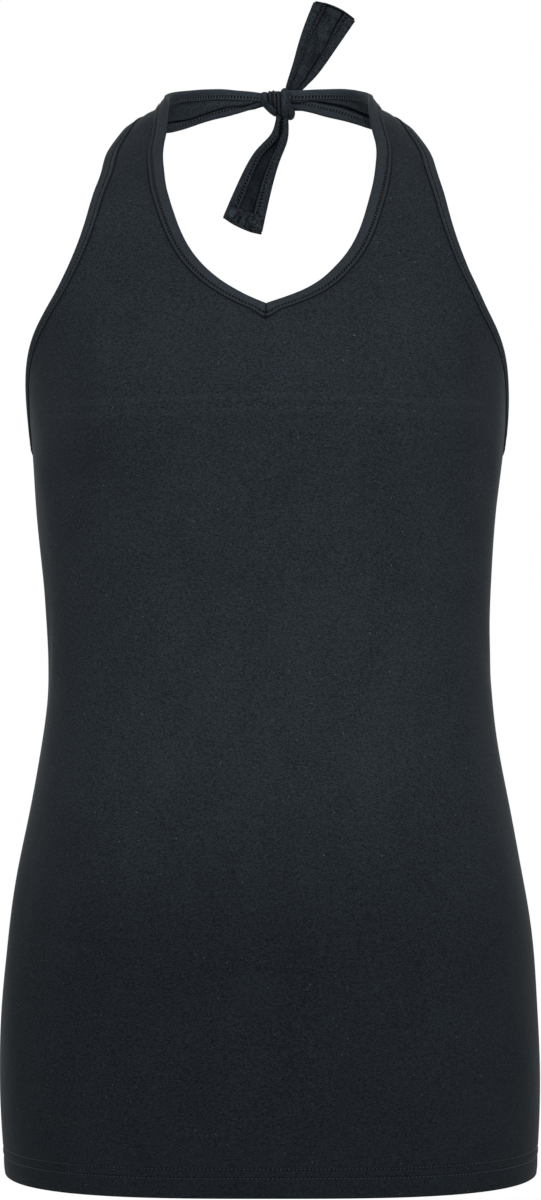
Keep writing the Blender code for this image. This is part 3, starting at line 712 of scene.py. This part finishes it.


# across a binding, in mm from its edge: painted shade in the fold at the seam, a darker line of
# painted shade along the stitching's groove and dark dots of painted shade at the needle's holes,
# drawn a little coarser than the real 1.8 mm; and the seam where the binding begins
needleMarks = [
    {"line": 10.0, "half": 0.8, "strength": 0.95, "deep": 0.3},
    {"line": 7.1, "half": 1.1, "strength": 0.5},
    {"line": 7.1, "half": 1.2, "strength": 1.0, "pitch": 2.2, "gap": 0.56, "lean": 0.4,
     "colour": "010202", "deep": 0.5},
    {"line": 0.0, "half": 0.5, "strength": 0.9, "across": 1, "deep": 0.3},
]
# and on the wrong side: a painted highlight on the binding's fold ridge, painted shade at the seam
# and in the stitching's groove, and dark slashes of painted shade between the looper's threads
looperMarks = [
    # painted highlight on the fold ridge beside the seam
    {"line": -8.9, "half": 0.6, "strength": 0.2, "colour": "3d454d"},
    {"line": -10.0, "half": 0.7, "strength": 0.3},
    {"line": -7.0, "half": 1.5, "strength": 0.45},
    {"line": -7.0, "half": 1.7, "strength": 1.0, "pitch": 2.3, "gap": 0.58, "lean": 0.5,
     "colour": "010202", "deep": 0.5},
]
# on the panels, in mm above the hem: darker lines of painted shade along the grooves of the two
# hem rows, and dark dots of painted shade at their needle's holes
hemMarks = [
    {"line": 18.1, "half": 0.9, "strength": 0.25},
    {"line": 18.1, "half": 0.7, "strength": 0.95, "pitch": 2.44, "gap": 0.3},
    {"line": 13.2, "half": 0.5, "strength": 0.45},
    # two faint lighter lines across the chest
    {"line": 493.0, "half": 2.6, "strength": 0.02, "colour": "51575c"},
    {"line": 485.0, "half": 2.2, "strength": 0.015, "colour": "51575c"},
    {"line": 12.5, "half": 0.6, "strength": 0.5, "pitch": 2.44, "gap": 0.25},
]
panelJersey = jerseyMaterial("jerseyRightSide", jerseyLook, hemMarks)
innerJersey = jerseyMaterial("jerseyWrongSide", {
    **jerseyLook, "dark": "0e1216", "light": "31383e", "grain": 1.1, "grainMix": 1.4,
    "waleMix": 0.4})
# the bindings are drawn a little lighter than the panels: partly painted light where their rounded
# edges catch it, partly the fuzz of their fibre
bindingLook = {**jerseyLook, "dark": "0f1317", "light": "2a3035", "wale": 0.9, "waleRun": 1.0,
               "waleMix": 0.6, "grainMix": 1.2, "lintEvery": 14.0}
bindingSides = [jerseyMaterial("jerseyBinding", bindingLook, needleMarks),
                jerseyMaterial("jerseyBindingInside", {**bindingLook, "light": "333b42"},
                               looperMarks)]
# painted shade: the tie ends hang clear of the lit front, so their colours are drawn darker
tieLook = {**bindingLook, "dark": "0a0e12", "light": "252b31", "wale": 1.3, "waleMix": 1.3,
           "grain": 0.7, "grainMix": 2.2}
tieSides = [jerseyMaterial("jerseyTie", tieLook, needleMarks),
            jerseyMaterial("jerseyTieInside", {**tieLook, "light": "2b3238"}, looperMarks)]
# painted shade: strong clouding in the ties' middles stands for the shadows of their crumples
tieInner = jerseyMaterial("jerseyTieMiddle", {**jerseyLook, "light": "20272d", "cloud": 9.0,
                                              "cloudMix": 2.0, "grainMix": 1.8,
                                              "crevice": 6.0, "creviceMix": 1.4})
# the turned end is crumpled by its stitching; its strong fine clouding is painted light and shade
# of the crumples
turnedJersey = jerseyMaterial("jerseyTurnedEnd", {**tieLook, "dark": "07090c", "light": "333a40",
                                                  "cloud": 2.2, "cloudMix": 2.0})
# painted shade: strong clouding on the tie's face stands for the shadows of its crumples
tieMiddle = jerseyMaterial("jerseyTieFace", {**tieLook, "light": "23292e", "cloud": 7.0,
                                             "cloudMix": 2.6, "crevice": 5.0,
                                             "creviceMix": 1.4})
knotJersey = jerseyMaterial("jerseyKnot", {**tieLook, "dark": "0f151a", "light": "2f363c",
                                           "crevice": 2.0, "creviceMix": 1.3})
threadLook = {"dark": "272e34", "light": "434b53", "rough": 0.6, "specular": 0.2,
              "sheen": 0.2, "twist": 0.5}
sewingThread = threadMaterial("sewingThread", threadLook)
needleThread = threadMaterial("needleThread", {**threadLook, "dark": "161a1e", "light": "282e33"})
# painted shade: near-black short threads stand for the shade in needle holes
holeShadeMaterial = threadMaterial("needleHoleShade", {**threadLook, "dark": "020304", "light": "05070a"})
hemThread = threadMaterial("hemThread", {**threadLook, "dark": "1c2227", "light": "333b43"})
print("materials made")


# the strap on the wearer's right is drawn together more tightly
strap, rightStrap = [strapGrid(folds) for folds in strapFolds.values()]
torso = torsoGrid(strap[0])
strapHalf = {"Left": hung(strap), "Right": hung(mirror(rightStrap))}
torsoHalf = {"Left": hung(seamPull(torso)), "Right": hung(seamPull(mirror(torso)))}
frontGrids = [(grid, flatPlaces(grid, hemCount, firstHeight)) for grid in torsoHalf.values()]
frontGrids += [(grid, flatPlaces(grid, 0, strap[0, 0, 2])) for grid in strapHalf.values()]
frontCloth = addPiece("frontCloth", meshFromGrids("frontCloth", frontGrids, outOfBody),
                      [panelJersey, innerJersey], "front_panel", cloth["thick"])
sideRaw, sideInner, centreTop = strap[0, (-1, -2, 1), 2]
back = hung(seamPull(backGrid(sideRaw, sideInner, centreTop)))
backFlat = flatPlaces(back, hemCount, firstHeight)
backCloth = addPiece("backCloth", meshFromGrids("backCloth", [(back, backFlat)], outOfBody),
                     [panelJersey, innerJersey], "back_panel", cloth["thick"])
print("front and back made")

# a binding's section: in from the finished edge, over or under the panel
bindingFace = [(10.6, 0.14), (9.6, 0.2), (9.4, 0.55), (9.15, 0.95), (8.6, 1.2), (7.8, 1.0),
               (7.35, 0.75), (7.1, 0.62), (6.85, 0.75), (6.3, 1.0), (5.2, 1.22), (3.8, 1.32),
               (2.6, 1.35)]
bindingBack = [(2.6, -1.35), (4.6, -1.4), (6.0, -1.35), (7.0, -1.05), (8.0, -1.25), (9.0, -1.3),
               (9.4, -0.8), (9.6, -0.22), (10.6, -0.14)]
edgeAngles = (75, 45, 15, -15, -45, -75)
edgeRadius = 1.38
shoulder = {"flatter": 0.55, "across": (74, 14), "heights": (662, 12)}


def stripFrame(raw, inner, flip):
    along = unit(np.gradient(raw, axis=0))
    away = unit(raw - inner)
    return away, unit(np.cross(along, away)) * flip


def inFrom(raw, inner, distance):
    # a line so many mm in from the finished edge
    setback = cloth["edgeSetback"]
    return lerp(raw, inner, (distance - setback) / (cloth["bindingWidth"] - setback))


def bindingStrip(raw, inner, flip, stretchFirst):
    away, out = stripFrame(raw, inner, flip)
    reach = np.ones(len(raw))
    reach[0] = stretchFirst
    # stretched over the shoulder it lies flatter
    press = 1 - shoulder["flatter"] * hill(np.abs(raw[:, 0]), *shoulder["across"], 4) \
        * ramp(raw[:, 2], *shoulder["heights"])
    rows = [inFrom(raw, inner, distance) + out * (lift * press)[:, None]
            for distance, lift in bindingFace]
    for angle in np.radians(edgeAngles):
        turned = out * math.sin(angle) + away * math.cos(angle) * reach[:, None]
        rows.append(raw + turned * edgeRadius)
    rows += [inFrom(raw, inner, distance) + out * lift for distance, lift in bindingBack]
    across = [*[distance for distance, _ in bindingFace],
              *[cloth["edgeSetback"] * angle / edgeAngles[0] for angle in edgeAngles],
              *[-distance for distance, _ in bindingBack]]
    flat = np.stack(np.broadcast_arrays(runOf(raw)[:, None], across), -1) * mm
    return np.stack(rows, 1), flat


seamRow = {"line": 7.1, "face": 0.8, "back": 1.05}    # mm from the edge, and off the middle
# pulled tight round the armhole the binding is narrower: share of its width by height
armholeTaper = {"height": (488, 505, 545, 565, 591, 617, 640, 660),
                "share": (0.8, 0.6, 0.58, 0.6, 0.66, 0.74, 0.88, 1.0)}
# the stitches: mm from one to the next, share of that left free, then length, radius and
# lift off the cloth in mm, and lean in degrees
needleStitch = {"pitch": 2.2, "gap": 0.45, "length": 0.9, "radius": 0.2, "lift": 0.0, "lean": 0.0}
looperStitch = {"pitch": 2.3, "gap": 0.45, "length": 2.2, "radius": 0.3, "lift": 0.2, "lean": 68.0}


def addBinding(name, raw, inner, flip, sides, stretchFirst=1.0, thread=sewingThread, taper=None):
    # neckBindingLeft lies in the node neck_binding_left
    nodeName = "".join("_" + c.lower() if c.isupper() else c for c in name)
    if taper:
        share = np.interp(raw[:, 2], taper["height"], taper["share"])
        inner = lerp(raw, inner, share[:, None])
    points, flat = bindingStrip(raw, inner, flip, stretchFirst)
    out = stripFrame(raw, inner, flip)[1]
    placed = toFrame(raw)

    def facing(centre):
        return nearestOut(placed, out, centre)

    shell = meshFromGrids(name, [(points, flat)], facing)
    piece = addPiece(name, shell, sides, nodeName, cloth["thick"])
    # the half that turns to the wrong side takes the looper's marks
    for polygon in shell.polygons:
        acrossAt = np.mean([shell.uv_layers[0].data[k].uv[1] for k in polygon.loop_indices])
        polygon.material_index = 1 if acrossAt < 0 else 0
    piece.modifiers["wall"].material_offset = 0
    seam = inFrom(raw, inner, seamRow["line"])
    onFace = seam + out * (seamRow["face"] + cloth["thick"] / 2)
    onBack = seam - out * (seamRow["back"] + cloth["thick"] / 2)
    run = runOf(raw)
    return [piece,
            threadRow(name + "Needle", onFace, out, needleStitch, needleThread, run),
            threadRow(name + "Looper", onBack, -out, looperStitch, thread, run)]


def nearestOut(places, out, centre):
    # straight out of the cloth beside the edge, on the side where the face lies
    at = np.array(centre)
    i = int(np.argmin(np.sum((places - at) ** 2, -1)))
    side = np.sign(np.dot(at - places[i], out[i])) or 1
    return Vector(out[i] * side)


for side, rows in strapHalf.items():
    flip = 1 if side == "Left" else -1
    addBinding("neckBinding" + side, rows[:, 0], rows[:, 1], flip,
                                         bindingSides, seamStretch(neckEdge))
    addBinding(
        "armholeBinding" + side, rows[:, -1], rows[:, -2], -flip, bindingSides,
        seamStretch(armholeEdge), taper=armholeTaper)
addBinding("backBinding", back[-1], back[-2], 1, bindingSides)
print("bindings made")


# hem: two rows of needle stitching
hemRow = {**needleStitch, "pitch": 2.44, "gap": 0.3, "length": 1.7, "radius": 0.26}
hemHeights = {"Upper": 18.1, "Lower": 12.5}
hemPieces = {"front": [], "back": []}
for part, side, grid in (("front", "Left", torsoHalf["Left"]),
                         ("front", "Right", torsoHalf["Right"]), ("back", "", back)):
    for rowName, height in hemHeights.items():
        line = grid[hemCount + int(np.argmin(np.abs(torsoHeights(centreTop) - height)))]
        axis = bodyCurves["axis"](height)
        out = unit((line - np.array([0, axis, 0])) * np.array([1, 1, 0]))
        hemPieces[part].append(threadRow(
            part + "Hem" + rowName + side, line + out * cloth["thick"] / 2, out, hemRow,
            hemThread, runOf(line)))
print("hem sewn")


# the tie ends, a row for each section: x and height of its left edge and of its right edge,
# and its depth; and folds: share of the way along, how much of the left and of the right
# binding shows, and how far back the middle lies; the shifts are of both edges at the knot
ties = {
    "upper": {
        "rightSide": -1, "shifts": (-1.3, -0.6), "crown": 2.9, "overhang": 0.6,
        "rows": [(12.2, 701.6, 22.6, 701.6, 3), (16.4, 720, 32.6, 712, 4),
                 (22, 740, 45, 729.5, 5.5), (29.4, 759.5, 57, 747, 7)],
        "folds": [
            (0.0, 2.4, 2.3, -2.0), (0.05, 2.7, 2.4, -2.0), (0.31, 4.1, 4.3, -0.6),
            (0.5, 5.1, 4.8, 1.6), (0.62, 5.9, 5.2, 2.0), (0.825, 7.5, 7.5, 1.4),
            (1.0, 8.3, 7.8, 0.4),
        ],
    },
    "lower": {
        "rightSide": 1, "shifts": (-0.4, 0.2), "crown": 2.0, "overhang": 1.5,
        "rows": [(5.2, 681.6, 13, 681.6, -1.5), (1.2, 671.6, 12.6, 668.2, 0.5),
                 (-9.2, 660.6, 7.7, 655, 3), (-19.7, 641.8, 1.8, 634.6, 6),
                 (-29.3, 620.3, -3.9, 609, 8)],
        "folds": [
            (0.0, 2.4, 2.6, 4.5), (0.07, 2.5, 2.8, 4.5), (0.166, 3.1, 3.2, 4.2),
            (0.255, 4.6, 4.4, 3.4), (0.34, 5.2, 4.4, 2.8), (0.48, 5.1, 5.1, 2.0),
            (0.665, 5.9, 6.3, 1.4), (0.82, 6.8, 7.0, 1.2), (1.0, 7.4, 7.6, 0.8),
        ],
    },
}
# the fold beside the binding, by share across; the turned end, by share along; and the
# run that lies inside the knot, in mm
tieForm = {
    "stations": 96, "columns": 22, "shiftOver": 0.4, "groove": 1.8, "grooveAt": (0.93, 0.06),
    "hem": 0.9, "puff": 0.55, "puffOver": 0.03, "pull": 0.5, "pullWidth": 0.012, "inKnot": 6,
    "holeLift": 0.5, "bindingLift": 1.85,
}
# the turned end: thicker toward the sides; its ripples by size, cycles, phase and drift;
# and its tucks by place across and depth
turnedForm = {
    "thickness": 2.0, "sides": 0.7, "sidesAt": (0.75, 0.25),
    "ripples": ((0.5, 7.0, 1, 0.5), (0.35, 16.0, 0, -0.9)),
    "tucks": ((-0.42, 1.3), (0.2, 1.5), (0.62, 0.7)), "tuckWidth": 0.06,
}
holeShadeRow = {**needleStitch, "pitch": 2.0, "gap": 0.4, "radius": 0.34}


def tieSections(tie):
    rows = np.array(tie["rows"], float)
    stations = np.linspace(0, 1, len(rows))
    at = np.linspace(0, 1, tieForm["stations"])
    curves = [smoothCurve(stations, rows[:, k])(at) for k in range(5)]
    for k, shift in zip((0, 2), tie["shifts"]):
        curves[k] = curves[k] + shift * (1 - ramp(at, 0, tieForm["shiftOver"]))
    left = np.stack([curves[0], curves[4], curves[1]], -1)
    right = np.stack([curves[2], curves[4], curves[3]], -1)
    across = unit(right - left)
    widths = np.linalg.norm(right - left, axis=1)
    table = np.array(tie["folds"])
    leftShown, rightShown, middle = [smoothCurve(table[:, 0], table[:, k])(at) for k in (1, 2, 3)]
    rightShown = np.minimum(rightShown, widths - leftShown - 0.4)
    shares = np.linspace(0, 1, tieForm["columns"] + 1)
    sink = ramp(np.minimum(shares, 1 - shares), 0, 0.2)
    distances = np.concatenate([
        np.full((len(at), 1), cloth["edgeSetback"]),
        leftShown[:, None] + (widths - leftShown - rightShown)[:, None] * shares,
        (widths - cloth["edgeSetback"])[:, None]], 1)
    sections = left[:, None] + across[:, None] * distances[..., None]
    # deepest beside the binding on the right, where the cloth is folded over
    groove = tieForm["groove"] * hill(shares, *tieForm["grooveAt"])
    sections[:, 1:-1, 1] += middle[:, None] * sink + groove
    along = unit(np.gradient((left + right) / 2, axis=0))
    share = distances / widths[:, None]
    crown = tie["crown"] * 4 * share * (1 - share) * at[:, None] ** 2
    sections = sections + along[:, None] * crown[:, :, None]
    # the first of it lies inside the knot
    root = sections[:1] - (sections[1] - sections[0]).mean(0) * tieForm["inKnot"]
    sections, at = np.concatenate([root, sections]), np.concatenate([[-0.01], at])
    # the turned end is thicker, and pulled in along its stitching
    puff = tieForm["puff"] * ramp(at, tieForm["hem"], tieForm["puffOver"])
    puff = puff - tieForm["pull"] * hill(at, tieForm["hem"], tieForm["pullWidth"])
    sections[..., 1] += tie["rightSide"] * puff[:, None]
    return sections, at


def turnedEnd(sections, at, rightSide, overhang):
    # wrapped round from the right side to the wrong side, bunched by its stitching
    turnedRows = sections[at >= tieForm["hem"]][::-1]
    share = np.linspace(-1, 1, turnedRows.shape[1])
    ahead = unit(sections[-1] - sections[-2])
    toWrong = np.array([0, -rightSide, 0.0])
    thickness = turnedForm["thickness"] \
        + turnedForm["sides"] * hill(np.abs(share), *turnedForm["sidesAt"])
    flap = [sections[-1] + ahead * overhang * math.cos(angle)
            + toWrong * (math.sin(angle) * thickness)[:, None]
            for angle in np.radians((-80, -50, -20, 20, 50, 80))]
    for k, row in enumerate(turnedRows):
        bumps = sum(size * np.sin(share * cycles + phase + k * drift)
                    for size, cycles, phase, drift in turnedForm["ripples"])
        for middle, deep in turnedForm["tucks"]:
            bumps = bumps - deep * hill(share, middle + 0.02 * k, turnedForm["tuckWidth"])
        edge = ramp(k, len(turnedRows) - 1, -2.0)
        lift = (thickness + bumps) * (0.45 + 0.55 * edge)
        flap.append(row + toWrong * lift[:, None])
    flap = np.array(flap)
    return flap + unit(flap[:, -1] - flap[:, 0])[:, None] * (share * overhang)[None, :, None]


def addTieCloth(name, grid, side, materials, replaced=None):
    shell = meshFromGrids(name, [(grid, flatPlaces(grid))], lambda _: Vector((0, side, 0)))
    return addPiece(name, shell, materials, replaced, cloth["thick"])


for name, tie in ties.items():
    sections, at = tieSections(tie)
    rightSide = tie["rightSide"]
    node = name + "_tie_cloth"
    made = [addTieCloth(name + "TieCloth", sections, rightSide, [tieMiddle, tieInner], node)]
    for side, raw, inner in (("Left", sections[:, 0], sections[:, 1]),
                             ("Right", sections[:, -1], sections[:, -2])):
        flip = rightSide * np.sign(stripFrame(raw, inner, 1)[1][-1, 1])
        made += addBinding(name + "TieBinding" + side, raw, inner, flip, tieSides,
                           thread=needleThread)
    made.append(addTieCloth(
        name + "TieHem", turnedEnd(sections, at, rightSide, tie["overhang"]), -rightSide,
        [turnedJersey if rightSide > 0 else tieMiddle, tieInner]))
    # painted shade of the holes of its stitching on the right side: a row of near-black short
    # capsules
    row = sections[int(np.argmin(np.abs(at - tieForm["hem"])))]
    overBinding = np.arange(len(row)) % (len(row) - 2) < 2
    lift = np.where(overBinding, tieForm["bindingLift"], tieForm["holeLift"])
    toRight = np.array([0, rightSide, 0.0])
    made.append(threadRow(name + "TieHoleShade", row + toRight * lift[:, None], toRight + 0 * row,
                          holeShadeRow, holeShadeMaterial, runOf(row)))
print("ties made")


# the knot: turns of the strap side by side, each a rounded roll of cloth
# middle x and height, half width, half length, lean in degrees, depth, half depth, pleats,
# how square
knotTurns = [
    (4.6, 694.6, 6.2, 5.9, 0, 2.8, 5.6, 0.0, 4.0),
    (-2.4, 695.2, 3.3, 4.9, -4, 2.6, 8.2, 0.03, 2.6),
    (1.4, 689.8, 2.9, 7.4, -47, 2.4, 7.2, 0.04, 2.6),
    (1.3, 694.9, 1.3, 6.0, -7, 2.3, 8.6, 0.0, 2.3),
    (4.3, 694.0, 1.6, 7.3, -9, 2.2, 8.8, 0.0, 2.3),
    (6.9, 691.9, 0.8, 8.8, -3, 2.0, 10.2, 0.0, 2.4),
    (10.7, 692.2, 3.9, 10.4, 0, 2.0, 11.2, 0.02, 2.3),
    (13.2, 688.5, 4.1, 6.9, -16, 3.2, 8.2, 0.04, 2.1),
]


def knotRoll(turnRow):
    x, height, halfWidth, halfLength, lean, depth, halfDepth, pleat, power = turnRow
    rings, around = 40, 56
    up = np.linspace(-math.pi / 2, math.pi / 2, rings + 1)[1:-1, None]
    turn = np.linspace(0, 2 * math.pi, around, endpoint=False)[None]
    way = np.stack([np.cos(up) * np.cos(turn), np.cos(up) * np.sin(turn),
                    np.sin(up) + 0 * turn], -1)
    poles = np.array([[0, 0, -1.0], [0, 0, 1.0]])

    def shape(way):
        shaped = way / np.sum(np.abs(way) ** power, -1, keepdims=True) ** (1 / power)
        ripple = 1 + pleat * np.cos(shaped[..., 0] * 7 + shaped[..., 2] * 1.3) \
            * (1 - shaped[..., 2] ** 2)
        local = shaped * np.array([halfWidth, halfDepth, halfLength])
        local[..., 1] *= ripple
        c, s = math.cos(math.radians(lean)), math.sin(math.radians(lean))
        turned = np.stack([local[..., 0] * c + local[..., 2] * s, local[..., 1],
                           local[..., 2] * c - local[..., 0] * s], -1)
        return turned + np.array([x, depth, height])

    return shape(way), shape(poles)


knotShell = bmesh.new()
for turnRow in knotTurns:
    grid, poles = knotRoll(turnRow)
    verts = [[knotShell.verts.new(point) for point in row] for row in toFrame(grid)]
    bottom, top = [knotShell.verts.new(point) for point in toFrame(poles)]
    around = len(verts[0])
    for j in range(around):
        k = (j + 1) % around
        knotShell.faces.new((bottom, verts[0][k], verts[0][j]))
        knotShell.faces.new((top, verts[-1][j], verts[-1][k]))
        for low, high in zip(verts[:-1], verts[1:]):
            knotShell.faces.new((low[j], low[k], high[k], high[j]))
for face in knotShell.faces:
    face.smooth = True
bmesh.ops.recalc_face_normals(knotShell, faces=knotShell.faces)
knotWraps = addPiece("knotWraps", meshOf(knotShell, "knotWraps"), [knotJersey], "knot")
print("knot tied")


# camera, light and floor
view = {"x": 1.4, "height": 366.0, "away": 2600.0, "tall": 768.0, "sensor": 36.0}
camera = addObject("camera", bpy.data.cameras.new("camera"))
camera.location = toFrame(np.array([view["x"], cloth["seamDepth"] - view["away"], view["height"]]))
camera.rotation_euler = (math.pi / 2, 0, 0)
camera.data.sensor_width = view["sensor"]
camera.data.lens = view["sensor"] * view["away"] / view["tall"]
camera.data.clip_start = 0.05
bpy.context.scene.camera = camera


def addLamp(name, kind, place, target, watts, **settings):
    lamp = bpy.data.lights.new(name, kind)
    lamp.energy = watts
    for key, value in settings.items():
        setattr(lamp, key, value)
    holder = addObject(name, lamp)
    holder.location = place
    way = Vector(target) - Vector(place)
    holder.rotation_euler = way.to_track_quat("-Z", "Y").to_euler()


softbox = {"shape": "RECTANGLE", "size": 0.7, "size_y": 1.5}
fill = {"spot_size": math.radians(26), "spot_blend": 1.0, "shadow_soft_size": 0.2}
addLamp("keySpot", "SPOT", (0.0, -2.6, 0.9), (0.0, -0.19, 0.472), 177,
        spot_size=math.radians(40), spot_blend=0.09, shadow_soft_size=0.05)
for side, sense, watts, target in (("left", -1, 26, (-0.21, -0.11, -0.33)),
                                   ("right", 1, 54, (0.21, -0.11, -0.36))):
    addLamp(side + "Side", "AREA", (1.7 * sense, -0.5, 0.45), (0.0, -0.06, -0.15), 3.0, **softbox)
    addLamp(side + "Fill", "SPOT", (1.4 * sense, -1.7, -0.4), target, watts, **fill)
addLamp("softBack", "AREA", (0.0, 2.0, 0.9), (0.0, -0.06, -0.3), 8, **softbox)

world = bpy.data.worlds.new("studio")
bpy.context.scene.world = world
world.use_nodes = True
# white all round but for grey flats out at the sides, so that the edges stay quiet
studioWall = {"open": "ffffff", "flats": "a8adb1", "flatsFrom": 0.55, "flatsFull": 0.8}
world.node_tree.nodes.clear()
add = partial(addNode, world.node_tree)
way = add("SeparateXYZ", (add("TexCoord").outputs["Generated"],)).outputs[0]
aside = add("Math", (way,), operation="ABSOLUTE")
aside = add("MapRange", {
    "Value": aside, "From Min": studioWall["flatsFrom"], "From Max": studioWall["flatsFull"]})
around = add("Mix", {0: aside, 6: hexColour(studioWall["open"]),
                     7: hexColour(studioWall["flats"])}, data_type="RGBA")
add("OutputWorld", {"Surface": add("Background", {"Color": around})})
bpy.context.scene.view_settings.view_transform = "Standard"

# painted studio floor: pale and matt
floorForm = {"half": 1.25, "height": -0.95, "colour": "e9e9e7", "rough": 0.9}
floorMaterial, add = blankMaterial("studioFloor")
paint = add("BsdfPrincipled", {
    "Base Color": hexColour(floorForm["colour"]), "Roughness": floorForm["rough"]})
add("OutputMaterial", {"Surface": paint})
floorMesh = bpy.data.meshes.new("floor")
corners = [(x * floorForm["half"], y * floorForm["half"], floorForm["height"])
           for x, y in ((-1, -1), (1, -1), (1, 1), (-1, 1))]
floorMesh.from_pydata(corners, [], [(0, 1, 2, 3)])
floorMesh.materials.append(floorMaterial)
addObject("floor", floorMesh)
